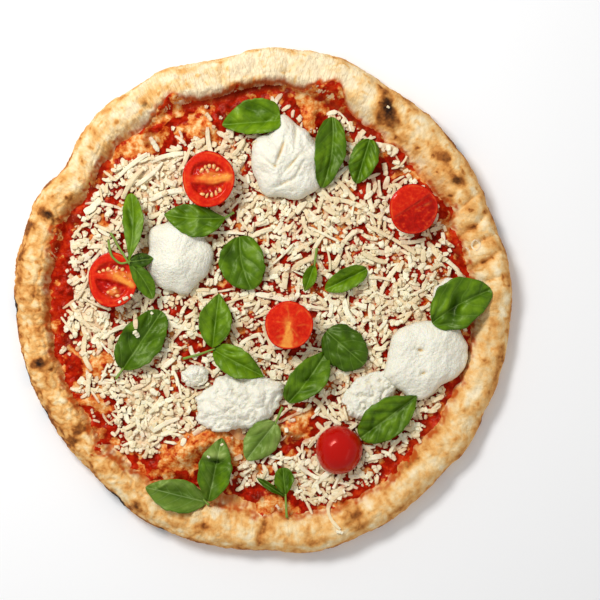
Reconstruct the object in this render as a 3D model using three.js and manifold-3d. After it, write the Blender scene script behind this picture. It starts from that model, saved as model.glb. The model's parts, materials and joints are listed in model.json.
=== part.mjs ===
// A margherita pizza, about 30 cm across. Units are millimetres, +Z is up, and the flat
// underside lies in z = 0.
//
// The pieces are layered from the bottom up: the dough with its raised, uneven rim, the
// tomato sauce, the grated cheese, and on top soft cheese, halved tomatoes and basil.
// The three layers share one grid of rings, so their faces run exactly parallel. Every
// topping is lowered straight down until it rests on what is already there.

import * as THREE from 'three';
import { mergeVertices } from 'three/addons/utils/BufferGeometryUtils.js';
import Module from 'manifold-3d';

const wasm = await Module();
wasm.setup();

// Driving dimensions of the dough
const meanRadius = 150.3;
const rimHeight = 17;
const rimWidthMean = 25;
const crownInset = 10; // from the outermost line in to the top of the rim
const edgeHeight = 5.5; // height of the outermost line
const edgeRound = 5; // from the flat underside out to the outermost line
const slopeDelay = 1.4; // how late the rim's inner slope falls away; 1 is even
const baseThickness = 5.5;

// Driving dimensions of what lies on it
const sauceThickness = 1;
const cheeseThickness = 2.2;
const cheeseMargin = 2; // bare sauce between the foot of the rim and the grated cheese
const layerGap = 0.35;
const restGap = 0.5;
const leafThickness = 0.6;
const stemRadius = 0.9;

// Grated cheese strips that stand out of the bed
const stripCount = 60;
const stripWidth = 2.3;
const stripHeight = 2.2;
const stripShowing = 1.6;
const stripLongest = 24;
const stripShortest = 11;
const stripClearance = 1.2; // from a strip to the toppings
const stripMargin = 4; // from a strip's middle to the edge of the bed

// Slow swellings and hollows of the outline: angle and spread in degrees, rise in mm
const outlineSwells = [
  { angle: 75, spread: 16, rise: 4.5 },
  { angle: 115, spread: 12, rise: 2 },
  { angle: 146, spread: 6, rise: -4.2 },
  { angle: 217, spread: 22, rise: -4 },
  { angle: 292, spread: 18, rise: 3.6 },
  { angle: 20, spread: 8, rise: -1.8 },
];

// Where the rim is broader or narrower than its mean
const rimSwells = [
  { angle: 45, spread: 25, rise: 5 },
  { angle: 182, spread: 18, rise: -3 },
  { angle: 222, spread: 14, rise: -7 },
  { angle: 247, spread: 9, rise: 6 },
];

// Creases that run across the rim
const rimCreases = [
  { angle: 11, spread: 3, depth: 3 },
  { angle: 19, spread: 3, depth: 2.5 },
  { angle: 84, spread: 3.5, depth: 2.5 },
  { angle: 100, spread: 3, depth: 2 },
  { angle: 186, spread: 3, depth: 2 },
  { angle: 255, spread: 3, depth: 2 },
  { angle: 270, spread: 3.5, depth: 2.5 },
];

// Baked bubbles and folds of the dough: centre, half sizes, height and turn
const doughBlisters = [
  { x: -34.5, y: 103.2, length: 9, width: 5.5, height: 4, turn: 25 },
  { x: -67.5, y: 98.4, length: 11, width: 6.6, height: 4.5, turn: 30 },
  { x: 23.1, y: 124.2, length: 11.4, width: 4, height: 3, turn: -10 },
  { x: 29.1, y: 111.6, length: 4, width: 9, height: 3.5, turn: 0 },
  { x: 73.5, y: 92.4, length: 6, width: 5, height: 3, turn: 0 },
  { x: -99.9, y: -37.2, length: 10.5, width: 8.4, height: 4, turn: 0 },
  { x: -101.1, y: -60, length: 11.4, width: 5, height: 3.5, turn: -20 },
  { x: -42.3, y: -87.6, length: 18, width: 7, height: 8, turn: 29 },
  { x: -15.9, y: -88.8, length: 13, width: 6, height: 6, turn: -46 },
  { x: 19.5, y: -75.6, length: 9, width: 7.5, height: 4, turn: 20 },
  { x: 4.5, y: -122.4, length: 9, width: 6.6, height: 4, turn: 0 },
  { x: 109.5, y: 38.4, length: 4, width: 7.5, height: 3, turn: 0 },
  { x: 101.7, y: 15, length: 5, width: 5, height: 3, turn: 0 },
  { x: 50.7, y: -66, length: 5, width: 5, height: 2.5, turn: 0 },
  { x: 63.3, y: -102, length: 5, width: 5, height: 2.5, turn: 0 },
  { x: 50.1, y: -126.6, length: 4.5, width: 4.5, height: 3, turn: 0 },
];

// Bays of bare sauce that reach in from the edge of the grated cheese
const cheeseBays = [
  { angle: 80, spread: 8, depth: 10 },
  { angle: 108, spread: 13, depth: 20 },
  { angle: 126, spread: 8, depth: 12 },
  { angle: 247, spread: 11, depth: 34 },
  { angle: 272, spread: 8, depth: 12 },
];

// Bubbles that stand bare in the middle of the grated cheese
const bareBlisters = [doughBlisters[5], doughBlisters[9]];

// Soft cheese: centre, half sizes, height, turn, and the lobes of its outline
const softCheese = {
  mozzarella_back: {
    x: 14.7, y: 84, length: 22, width: 23, height: 12, turn: 0, phase: 0.4,
    lobes: [{ angle: 95, spread: 14, rise: 0.22 }, { angle: 330, spread: 25, rise: 0.1 }],
  },
  mozzarella_left: {
    x: -50.1, y: 27.6, length: 20, width: 21.5, height: 11.5, turn: 0, phase: 2.1,
    lobes: [{ angle: 130, spread: 20, rise: 0.1 }, { angle: 250, spread: 30, rise: 0.08 }],
  },
  mozzarella_front: {
    x: -13.5, y: -60, length: 27, width: 17, height: 9, turn: 15, phase: 1.2,
    lobes: [{ angle: 200, spread: 20, rise: 0.08 }, { angle: 100, spread: 30, rise: 0.1 }],
  },
  mozzarella_right: {
    x: 96.9, y: -33, length: 29, width: 21.5, height: 10.5, turn: 41, phase: 0.2,
    lobes: [{ angle: 170, spread: 25, rise: 0.12 }, { angle: 300, spread: 25, rise: 0.08 }],
  },
  mozzarella_crumb: {
    x: -40.5, y: -44.4, length: 8.4, width: 6.6, height: 4.5, turn: 10, phase: 0, lobes: [],
  },
};

// The torn ends that hang on to the right-hand piece
const tornEnds = [
  {
    x: 63, y: -57, length: 15.5, width: 12.5, height: 6, turn: 30, phase: 1.5,
    lobes: [{ angle: 15, spread: 30, rise: 0.55 }],
  },
  { x: 112, y: 0, length: 10, width: 14.5, height: 6, turn: 0, phase: 0.9, lobes: [] },
];

// Halved tomatoes: centre, half sizes, height, which side is up and how far it leans
const tomatoes = {
  tomato_1: { x: -32.1, y: 73.2, length: 15.9, width: 17.1, height: 13, cutUp: true, septum: 80 },
  tomato_2: { x: -89.1, y: 13.2, length: 15, width: 16.8, height: 13, cutUp: true, septum: -20 },
  tomato_3: { x: 88.5, y: 57, length: 15, width: 15.3, height: 13, cutUp: true, lean: 11, towards: -45 },
  tomato_4: { x: 15.9, y: -13.8, length: 14.7, width: 14.7, height: 12.5, cutUp: true },
  tomato_5: { x: 45.9, y: -88.8, length: 14.4, width: 15, height: 14.5, cutUp: false },
};

// Basil leaves: base and tip in plan, full width, how far the edges turn up, how far the
// length arches, and the height and phase of the waves along the edge
const basil = {
  basil_01: {
    leaves: [{ base: [10.5, 110.4], tip: [-24.3, 106.8], width: 22, cup: 4, arch: 2, wave: 0.8, phase: 0 }],
  },
  basil_02: {
    leaves: [{ base: [41.5, 111], tip: [36, 69], width: 18.6, cup: 3, arch: 3, wave: 0.7, phase: 1 }],
  },
  basil_03: {
    leaves: [{ base: [64.5, 97.8], tip: [56.7, 71.4], width: 16.2, cup: 3, arch: 2, wave: 0.6, phase: 2 }],
  },
  basil_04: {
    junction: [-79.8, 23.8],
    raised: 0.6,
    leaves: [
      { base: [-79.7, 24.5], tip: [-78, 65.4], width: 12, cup: 2, arch: 1, wave: 0.8, phase: 1 },
      { base: [-79.1, 23.9], tip: [-65.2, 24], width: 9, cup: -2, arch: 1, wave: 0.5, phase: 2 },
      { base: [-79.2, 23.4], tip: [-65.4, 2], width: 10.2, cup: 1.5, arch: 1, wave: 0.4, phase: 0 },
    ],
    stems: [
      [[-91.5, 41.8], [-86, 33.5], [-79.8, 23.8]],
      [[-92.2, 37.5], [-89.8, 27.2], [-84.5, 22.5], [-79.8, 23.8]],
    ],
  },
  basil_05: {
    junction: [-21.9, 51],
    leaves: [{ base: [-22.3, 50.6], tip: [-59, 50.4], width: 20, cup: 1, arch: 2, wave: 0.5, phase: 0 }],
    stems: [[[-16.5, 54.2], [-21.9, 51]]],
  },
  basil_06: {
    leaves: [{ base: [-13.8, 39.4], tip: [-6, 7.2], width: 27.6, cup: 3.5, arch: 2, wave: 1, phase: 2 }],
  },
  basil_07: {
    junction: [-30, -28.6],
    leaves: [
      { base: [-30, -27.4], tip: [-26.1, 4.8], width: 19.5, cup: 4, arch: 3, wave: 0.8, phase: 0 },
      { base: [-29.5, -28.8], tip: [0, -44.4], width: 18, cup: 3, arch: 3, wave: 0.8, phase: 2 },
    ],
    stems: [[[-48.3, -34.2], [-38, -31.5], [-30, -28.6]]],
  },
  basil_08: {
    leaves: [{ base: [15.9, -60], tip: [38.4, -29.5], width: 20.4, cup: 4, arch: 3, wave: 0.8, phase: 1 }],
  },
  basil_09: {
    leaves: [{ base: [38.7, -18.6], tip: [60.5, -36], width: 25, cup: -2.5, arch: 3, wave: 1.2, phase: 0 }],
  },
  basil_10: {
    leaves: [{ base: [102.9, -11.4], tip: [136.5, 7.2], width: 28.8, cup: 4, arch: 2, wave: 1, phase: 2 }],
  },
  basil_11: {
    leaves: [{ base: [62.7, 19.2], tip: [38.1, 7.8], width: 13.2, cup: 4, arch: 2, wave: 0.5, phase: 0 }],
  },
  basil_12: {
    junction: [31.3, 22.8],
    leaves: [{ base: [31.2, 22.2], tip: [25.5, 7.8], width: 8.4, cup: 2.5, arch: 2, wave: 0.4, phase: 0 }],
    stems: [[[32.7, 33], [31.3, 22.8]]],
  },
  basil_13: {
    junction: [-84.3, -40.8],
    leaves: [{ base: [-84, -40.4], tip: [-59.7, -6.6], width: 24, cup: 3, arch: 2, wave: 1.2, phase: 1 }],
    stems: [[[-88.5, -46.8], [-84.3, -40.8]]],
  },
  basil_14: {
    junction: [8.1, -72],
    leaves: [{ base: [7.8, -72.4], tip: [-8.4, -95], width: 19.2, cup: -2.5, arch: 1, wave: 0.6, phase: 0 }],
    stems: [[[12.3, -62.4], [8.1, -72]]],
  },
  basil_15: {
    junction: [-32.8, -120.6],
    raised: 0.5,
    leaves: [
      { base: [-32.5, -119.8], tip: [-24.3, -82.8], width: 20, cup: 4, arch: 3, wave: 0.8, phase: 0 },
      { base: [-33.8, -120.3], tip: [-69, -112.8], width: 19.8, cup: 4, arch: 2, wave: 0.8, phase: 2 },
    ],
    stems: [[[-31.6, -122.4], [-34.6, -119.6]]],
  },
  basil_16: {
    junction: [13.8, -117],
    leaves: [
      { base: [13.8, -116.6], tip: [12.6, -100.5], width: 11.5, cup: 2.5, arch: 1, wave: 0.6, phase: 0 },
      { base: [12.9, -116.6], tip: [-2.4, -107], width: 4.2, cup: 1, arch: 1.5, wave: 0.3, phase: 0 },
    ],
    stems: [[[14.6, -130], [13.8, -117]]],
  },
  basil_17: {
    leaves: [{ base: [92.1, -56.7], tip: [59.4, -81], width: 23, cup: 3, arch: 2.5, wave: 0.9, phase: 1 }],
  },
};

const colours = {
  dough: 0xdcb27c,
  sauce: 0xa03016,
  gratedCheese: 0xe6d6b8,
  softCheese: 0xf0ecdd,
  tomato: 0xcf3a20,
  leaf: 0x4f7a22,
};

const radians = THREE.MathUtils.degToRad;
const clamp = THREE.MathUtils.clamp;
const up = new THREE.Vector3(0, 0, 1);

function bell(distance) {
  return Math.exp(-distance * distance);
}

// The smallest turn between two angles in degrees
function angleGap(first, second) {
  const turn = (first - second) % 360;
  if (turn > 180) return turn - 360;
  if (turn < -180) return turn + 360;
  return turn;
}

function sumOfBells(swells, degrees, key) {
  return swells.reduce((sum, swell) => {
    const distance = angleGap(degrees, swell.angle) / swell.spread;
    return sum + swell[key] * bell(distance);
  }, 0);
}

function seededRandom(seed) {
  let state = seed;
  return () => {
    state = (state * 1664525 + 1013904223) % 4294967296;
    return state / 4294967296;
  };
}

// The dough

function degreesAt(x, y) {
  return THREE.MathUtils.radToDeg(Math.atan2(y, x));
}

function outerRadius(degrees) {
  const waves = 0.7 * Math.sin(radians(9 * degrees + 40)) + 0.45 * Math.sin(radians(17 * degrees));
  return meanRadius + waves + sumOfBells(outlineSwells, degrees, 'rise');
}

function rimWidth(degrees) {
  return rimWidthMean + 1.2 * Math.sin(radians(7 * degrees)) + sumOfBells(rimSwells, degrees, 'rise');
}

function crownHeight(degrees) {
  const lumps = 0.7 * Math.sin(radians(5 * degrees + 30)) + 0.5 * Math.sin(radians(13 * degrees));
  return rimHeight + lumps + 0.12 * (rimWidth(degrees) - rimWidthMean);
}

// How far a bubble or fold lifts the dough at a point
function blisterLift(x, y, blister) {
  const turn = radians(blister.turn);
  const along = (x - blister.x) * Math.cos(turn) + (y - blister.y) * Math.sin(turn);
  const across = (y - blister.y) * Math.cos(turn) - (x - blister.x) * Math.sin(turn);
  return blister.height * bell(Math.hypot(along / blister.length, across / blister.width));
}

function doughTop(x, y) {
  const degrees = degreesAt(x, y);
  const inset = Math.max(outerRadius(degrees) - Math.hypot(x, y), 0);
  const crown = crownHeight(degrees);
  const width = rimWidth(degrees);
  let height = baseThickness;
  if (inset < crownInset) {
    const outward = 1 - inset / crownInset;
    height = edgeHeight + (crown - edgeHeight) * Math.sqrt(1 - outward * outward);
  } else if (inset < width) {
    const down = ((inset - crownInset) / (width - crownInset)) ** slopeDelay;
    height += (crown - baseThickness) * 0.5 * (1 + Math.cos(Math.PI * down));
  }
  const onRim = inset < width ? Math.sin(Math.PI * inset / width) : 0;
  const creased = onRim * sumOfBells(rimCreases, degrees, 'depth');
  const blistered = doughBlisters.reduce((sum, blister) => sum + blisterLift(x, y, blister), 0);
  return height - creased + blistered;
}

// The layered grid: rings of points from the outermost line to near the centre. Each
// ring has as many points as the one outside it, or half as many.

const rimSegments = 96;
const slopeShares = [0.34, 0.67, 1];
const firstSauceRing = 5;
const firstCheeseRing = 6;
const floorRings = [
  { share: 0.9, count: 48 },
  { share: 0.76, count: 48 },
  { share: 0.6, count: 24 },
  { share: 0.4, count: 24 },
  { share: 0.2, count: 12 },
];

function gridRings() {
  const crownRings = [0, 30, 60, 90].map((turn) => ({
    count: rimSegments,
    radius: (degrees) => outerRadius(degrees) - crownInset * (1 - Math.cos(radians(turn))),
  }));
  const slopeRings = slopeShares.map((share) => ({
    count: rimSegments,
    radius: (degrees) => outerRadius(degrees) - crownInset - share * (rimWidth(degrees) - crownInset),
  }));
  const innerRings = floorRings.map(({ share, count }) => ({
    count,
    radius: (degrees) => share * (outerRadius(degrees) - rimWidth(degrees)),
  }));
  return [...crownRings, ...slopeRings, ...innerRings];
}

const rings = gridRings();

// Collects points and triangles of a closed surface, ring by ring
class RingSurface {
  constructor() {
    this.positions = [];
    this.indices = [];
  }

  addPoint(x, y, z) {
    this.positions.push(x, y, z);
    return this.positions.length / 3 - 1;
  }

  addRing(count, radiusAt, heightAt) {
    const ring = [];
    for (let step = 0; step < count; step += 1) {
      const degrees = step * 360 / count;
      const x = radiusAt(degrees) * Math.cos(radians(degrees));
      const y = radiusAt(degrees) * Math.sin(radians(degrees));
      ring.push(this.addPoint(x, y, heightAt(x, y)));
    }
    return ring;
  }

  addTriangle(first, second, third, faceUp) {
    this.indices.push(...(faceUp ? [first, second, third] : [first, third, second]));
  }

  joinRings(outer, inner, faceUp) {
    const ratio = outer.length / inner.length;
    inner.forEach((start, step) => {
      const next = inner[(step + 1) % inner.length];
      const corners = [0, 1, 2].map((offset) => outer[(step * ratio + offset) % outer.length]);
      this.addTriangle(corners[0], corners[1], start, faceUp);
      this.addTriangle(corners[1], next, start, faceUp);
      if (ratio === 2) this.addTriangle(corners[1], corners[2], next, faceUp);
    });
  }

  closeRing(ring, centre, faceUp) {
    ring.forEach((start, step) => {
      this.addTriangle(start, ring[(step + 1) % ring.length], centre, faceUp);
    });
  }

  // Rings from `first` in to the centre, on the height function
  addSkin(first, heightAt, faceUp) {
    const skin = rings.slice(first).map(({ count, radius }) => this.addRing(count, radius, heightAt));
    for (let step = 1; step < skin.length; step += 1) {
      this.joinRings(skin[step - 1], skin[step], faceUp);
    }
    this.closeRing(skin.at(-1), this.addPoint(0, 0, heightAt(0, 0)), faceUp);
    return skin[0];
  }

  toGeometry() {
    const geometry = new THREE.BufferGeometry();
    geometry.setAttribute('position', new THREE.Float32BufferAttribute(this.positions, 3));
    geometry.setIndex(this.indices);
    return geometry;
  }
}

function layerGeometry(first, lowerAt, upperAt) {
  const surface = new RingSurface();
  const upperEdge = surface.addSkin(first, upperAt, true);
  const lowerEdge = surface.addSkin(first, lowerAt, false);
  surface.joinRings(lowerEdge, upperEdge, true);
  return surface.toGeometry();
}

function crustGeometry() {
  const surface = new RingSurface();
  let lastRing = surface.addSkin(0, doughTop, true);
  for (const turn of [45, 90]) {
    const inset = edgeRound * (1 - Math.cos(radians(turn)));
    const height = edgeHeight * (1 - Math.sin(radians(turn)));
    const nextRing = surface.addRing(rimSegments, (degrees) => outerRadius(degrees) - inset, () => height);
    surface.joinRings(nextRing, lastRing, true);
    lastRing = nextRing;
  }
  surface.closeRing(lastRing, surface.addPoint(0, 0, 0), false);
  return surface.toGeometry();
}

// Solids that are cut or joined

function toSolid(geometry) {
  const plain = geometry.clone();
  plain.deleteAttribute('normal');
  plain.deleteAttribute('uv');
  const merged = mergeVertices(plain, 1e-4);
  return new wasm.Manifold(new wasm.Mesh({
    numProp: 3,
    vertProperties: Float32Array.from(merged.getAttribute('position').array),
    triVerts: Uint32Array.from(merged.getIndex().array),
  }));
}

function toGeometry(solid) {
  const mesh = solid.getMesh();
  const geometry = new THREE.BufferGeometry();
  geometry.setAttribute('position', new THREE.BufferAttribute(Float32Array.from(mesh.vertProperties), 3));
  geometry.setIndex(new THREE.BufferAttribute(Uint32Array.from(mesh.triVerts), 1));
  return geometry;
}

// A cut can leave loose scraps, and only the main body is kept
function largestBody(solid) {
  return solid.decompose().reduce((best, body) => (body.volume() > best.volume() ? body : best));
}

// The sauce and the bed of grated cheese

function sauceBottom(x, y) {
  return doughTop(x, y) + layerGap;
}

function sauceTop(x, y) {
  return sauceBottom(x, y) + sauceThickness;
}

function cheeseEdge(degrees) {
  const ragged = 1.3 * Math.sin(radians(23 * degrees)) + 1.1 * Math.sin(radians(37 * degrees + 60));
  const bays = sumOfBells(cheeseBays, degrees, 'depth');
  return outerRadius(degrees) - rimWidth(degrees) - cheeseMargin - bays + ragged;
}

// Lumpy in the middle, and thinner towards the ragged edge
function cheeseDepth(x, y) {
  const inside = cheeseEdge(degreesAt(x, y)) - Math.hypot(x, y);
  const lumps = 0.3 * Math.sin(x / 7) * Math.cos(y / 9) + 0.2 * Math.sin((x + y) / 5);
  return (cheeseThickness + lumps) * (0.55 + 0.45 * THREE.MathUtils.smoothstep(inside, -2, 10));
}

function cheeseTop(x, y) {
  return sauceTop(x, y) + layerGap + cheeseDepth(x, y);
}

function outlinePrism(radiusAt) {
  const outline = new THREE.Shape();
  const points = [];
  for (let degrees = 0; degrees < 360; degrees += 5) {
    const radius = radiusAt(degrees);
    points.push(new THREE.Vector2(radius * Math.cos(radians(degrees)), radius * Math.sin(radians(degrees))));
  }
  outline.setFromPoints(points);
  return toSolid(new THREE.ExtrudeGeometry(outline, { depth: 2 * rimHeight, bevelEnabled: false }));
}

function blisterPrism({ x, y, length, width, turn }) {
  const outline = new THREE.Shape();
  outline.absellipse(x, y, length, width, 0, 2 * Math.PI, false, radians(turn));
  const options = { depth: 2 * rimHeight, bevelEnabled: false, curveSegments: 6 };
  return toSolid(new THREE.ExtrudeGeometry(outline, options));
}

function cheeseBed() {
  const layer = layerGeometry(firstCheeseRing, (x, y) => sauceTop(x, y) + layerGap, cheeseTop);
  let bed = toSolid(layer).intersect(outlinePrism(cheeseEdge));
  for (const blister of bareBlisters) bed = bed.subtract(blisterPrism(blister));
  return largestBody(bed);
}

// Everything up to a small gap above the layers, to cut the undersides of soft pieces
function spaceBelow() {
  return toSolid(layerGeometry(3, () => -1, (x, y) => cheeseTop(x, y) + restGap));
}

// Placing pieces on what is already there

const pizza = new THREE.Group();
const placed = [];

function addPiece(name, geometry, colour, roughness) {
  const flatSided = geometry.toNonIndexed();
  flatSided.computeVertexNormals();
  const material = new THREE.MeshStandardMaterial({ color: colour, roughness, metalness: 0 });
  const piece = new THREE.Mesh(flatSided, material);
  piece.name = name;
  pizza.add(piece);
  placed.push(piece);
  return piece;
}

const skyHeight = 100;
const caster = new THREE.Raycaster();
const straightDown = new THREE.Vector3(0, 0, -1);

// The highest surface under a point, and the piece that it belongs to
function surfaceUnder(x, y, pieces = placed) {
  caster.set(new THREE.Vector3(x, y, skyHeight), straightDown);
  const hit = caster.intersectObjects(pieces, false)[0];
  return hit ? { height: hit.point.z, name: hit.object.name } : { height: 0, name: '' };
}

// How far a piece must rise for each of these points to clear what lies below it
function riseToClear(points, gap) {
  return Math.max(...points.map(([x, y, z]) => surfaceUnder(x, y).height + gap - z));
}

// Corners, middles of edges and middles of faces
const faceShares = [[1, 0, 0], [0.5, 0.5, 0], [0, 0.5, 0.5], [0.5, 0, 0.5], [1 / 3, 1 / 3, 1 / 3]];

function restOnPieces(geometry) {
  const faces = geometry.toNonIndexed().getAttribute('position');
  const points = [];
  for (let first = 0; first < faces.count; first += 3) {
    const corners = [0, 1, 2].map((offset) => new THREE.Vector3().fromBufferAttribute(faces, first + offset));
    for (const shares of faceShares) {
      const point = new THREE.Vector3();
      corners.forEach((corner, index) => point.addScaledVector(corner, shares[index]));
      points.push(point.toArray());
    }
  }
  geometry.translate(0, 0, riseToClear(points, restGap));
  return geometry;
}

// Soft cheese: a torn dome of rings that follows the bed, cut off just above it

const blobSegments = 16;
const blobRings = [1, 0.85, 0.56, 0.28];

function blobOutline(blob, degrees) {
  const lobes = sumOfBells(blob.lobes, degrees, 'rise');
  const torn = 0.045 * Math.sin(radians(5 * degrees) + blob.phase) + 0.03 * Math.sin(radians(8 * degrees));
  return 1 + lobes + torn;
}

function blobPoint(blob, degrees, share) {
  const reach = share * blobOutline(blob, degrees);
  const along = blob.length * reach * Math.cos(radians(degrees));
  const across = blob.width * reach * Math.sin(radians(degrees));
  const turn = radians(blob.turn);
  const x = blob.x + along * Math.cos(turn) - across * Math.sin(turn);
  const y = blob.y + along * Math.sin(turn) + across * Math.cos(turn);
  return [x, y];
}

function blobTop(blob, x, y, share) {
  const dome = Math.max(1 - share * share, 0) ** 0.7;
  const folds = 0.07 * Math.sin(x / 4 + blob.phase) + 0.06 * Math.cos(y / 3.5);
  return cheeseTop(x, y) + restGap + blob.height * dome * (0.93 + folds) + 0.12 * blob.height;
}

function blobSolid(blob, below) {
  const surface = new RingSurface();
  const addBlobRing = (share, heightAt) => {
    const ring = [];
    for (let step = 0; step < blobSegments; step += 1) {
      const [x, y] = blobPoint(blob, step * 360 / blobSegments, share);
      ring.push(surface.addPoint(x, y, heightAt(x, y)));
    }
    return ring;
  };
  const floor = addBlobRing(1, () => 1);
  let lastRing = floor;
  for (const share of blobRings) {
    const nextRing = addBlobRing(share, (x, y) => blobTop(blob, x, y, share));
    surface.joinRings(lastRing, nextRing, true);
    lastRing = nextRing;
  }
  const top = surface.addPoint(blob.x, blob.y, blobTop(blob, blob.x, blob.y, 0));
  surface.closeRing(lastRing, top, true);
  surface.closeRing(floor, surface.addPoint(blob.x, blob.y, 1), false);
  return largestBody(toSolid(surface.toGeometry()).subtract(below));
}

// Tomatoes: a turned half, flat underneath where it lies on its skin

const tomatoSegments = 20;
const skinTurns = [20, 38, 55, 72, 90];

function tomatoGeometry({ length, width, height, cutUp, lean = 0, towards = 0 }) {
  const profile = skinTurns.map((turn) => new THREE.Vector2(
    Math.sin(radians(turn)),
    height * (Math.cos(radians(skinTurns[0])) - Math.cos(radians(turn))),
  ));
  profile.unshift(new THREE.Vector2(0, 0));
  profile.push(new THREE.Vector2(0, profile.at(-1).y));
  const half = new THREE.LatheGeometry(profile, tomatoSegments);
  half.rotateX(Math.PI / 2);
  if (!cutUp) half.rotateX(Math.PI);
  half.scale(length, width, 1);
  const downhill = new THREE.Vector3(Math.cos(radians(towards)), Math.sin(radians(towards)), 0);
  const axis = new THREE.Vector3().crossVectors(up, downhill);
  half.applyMatrix4(new THREE.Matrix4().makeRotationAxis(axis, radians(lean)));
  return half;
}

// The two seed pockets beside the septum of a cut face
function cutSeedPockets(solid, { length, septum }) {
  const faceHeight = solid.boundingBox().max[2];
  let pocketed = solid;
  for (const side of [-1, 1]) {
    const pocket = new THREE.SphereGeometry(1, 10, 6);
    pocket.scale(0.62 * length, 0.27 * length, 0.25 * length);
    pocket.translate(0, side * 0.44 * length, faceHeight);
    pocket.rotateZ(radians(septum));
    pocketed = pocketed.subtract(toSolid(pocket));
  }
  return pocketed;
}

function addTomato(name, tomato) {
  let solid = toSolid(tomatoGeometry(tomato));
  if (tomato.septum !== undefined) solid = cutSeedPockets(solid, tomato);
  const geometry = toGeometry(solid);
  geometry.translate(tomato.x, tomato.y, 0);
  addPiece(name, restOnPieces(geometry), colours.tomato, 0.25);
}

// Basil leaves: thin curved sheets whose two faces are split alike

const leafStations = [0, 0.14, 0.36, 0.6, 0.84, 1];
const leafAcross = [-1, -0.5, 0, 0.5, 1];
const leafNeck = 1.6; // full width where a leaf meets its stem

function leafHalfWidth(leaf, along) {
  const ovate = Math.sin(Math.PI * along ** 0.85) ** 0.72;
  return Math.max(0.5 * leaf.width * ovate, 0.5 * leafNeck * (1 - 0.7 * along));
}

// A point of a leaf before it is laid down: in plan, with its own curl as the height
function leafPoint(leaf, along, across) {
  const [baseX, baseY] = leaf.base;
  const length = Math.hypot(leaf.tip[0] - baseX, leaf.tip[1] - baseY);
  const ahead = [(leaf.tip[0] - baseX) / length, (leaf.tip[1] - baseY) / length];
  const side = across * leafHalfWidth(leaf, along);
  const spread = Math.abs(side) / (0.5 * leaf.width);
  const curl = leaf.cup * spread ** 1.5
    - leaf.arch * (2 * along - 1) ** 2
    + leaf.wave * spread ** 2 * Math.sin(3 * Math.PI * along + leaf.phase + across);
  const x = baseX + ahead[0] * along * length - ahead[1] * side;
  const y = baseY + ahead[1] * along * length + ahead[0] * side;
  return [x, y, curl];
}

function leafGrid(leaf) {
  return leafStations.map((along) => leafAcross.map((across) => leafPoint(leaf, along, across)));
}

// The slope of the ground under a leaf, by least squares about a fixed point
const steepestSlope = 0.6;

function groundSlope(points, pivot) {
  let xx = 0;
  let xy = 0;
  let yy = 0;
  let xz = 0;
  let yz = 0;
  for (const [x, y] of points) {
    const offset = [x - pivot.x, y - pivot.y];
    const rise = surfaceUnder(x, y).height - pivot.z;
    xx += offset[0] * offset[0];
    xy += offset[0] * offset[1];
    yy += offset[1] * offset[1];
    xz += offset[0] * rise;
    yz += offset[1] * rise;
  }
  const scale = 1 / (xx * yy - xy * xy);
  const slope = new THREE.Vector2(xz * yy - yz * xy, yz * xx - xz * xy).multiplyScalar(scale);
  return slope.clampLength(0, steepestSlope).toArray();
}

// Points all over the underside, on the two triangles of each cell
const cellShares = [0, 0.25, 0.5, 0.75, 1];

function leafUnderside(grid) {
  const points = [];
  const addPoint = (corner, first, second, firstShare, secondShare) => {
    const point = corner.map((value, axis) => value
      + firstShare * (first[axis] - value) + secondShare * (second[axis] - value));
    points.push([point[0], point[1], point[2] - leafThickness]);
  };
  for (let row = 1; row < grid.length; row += 1) {
    for (let column = 1; column < leafAcross.length; column += 1) {
      const [near, left] = [grid[row - 1][column - 1], grid[row - 1][column]];
      const [ahead, far] = [grid[row][column - 1], grid[row][column]];
      for (const first of cellShares) {
        for (const second of cellShares) {
          if (first + second <= 1) addPoint(near, ahead, left, first, second);
          else addPoint(far, left, ahead, 1 - first, 1 - second);
        }
      }
    }
  }
  return points;
}

// Lays a leaf along the slope of the ground and raises it until it is clear. A leaf of a
// sprig stays at its pivot and bends up from there.
const bendReach = 9;
const heldReach = 3; // so near the pivot a leaf stays as it is
const settlingRounds = 3;

function layLeaf(leaf, pivot) {
  const grid = leafGrid(leaf);
  const points = grid.flat();
  const centre = pivot ?? new THREE.Vector3(
    points.reduce((sum, point) => sum + point[0], 0) / points.length,
    points.reduce((sum, point) => sum + point[1], 0) / points.length,
    points.reduce((sum, [x, y]) => sum + surfaceUnder(x, y).height, 0) / points.length,
  );
  const [slopeX, slopeY] = groundSlope(points, centre);
  const baseCurl = pivot ? grid[0][2][2] - 0.5 * leafThickness : 0;
  for (const point of points) {
    point[2] += centre.z - baseCurl + slopeX * (point[0] - centre.x) + slopeY * (point[1] - centre.y);
  }
  const bendAt = (x, y) => (pivot ? clamp(Math.hypot(x - pivot.x, y - pivot.y) / bendReach, 0, 1) : 1);
  const held = heldReach / bendReach;
  for (let round = 0; round < settlingRounds; round += 1) {
    const free = leafUnderside(grid).filter(([x, y]) => bendAt(x, y) > held);
    const needs = free.map(([x, y, z]) => (surfaceUnder(x, y).height + restGap - z) / bendAt(x, y));
    const rise = Math.max(...needs);
    if (pivot && rise < 0) break;
    for (const point of points) point[2] += rise * bendAt(point[0], point[1]);
  }
  return grid;
}

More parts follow.
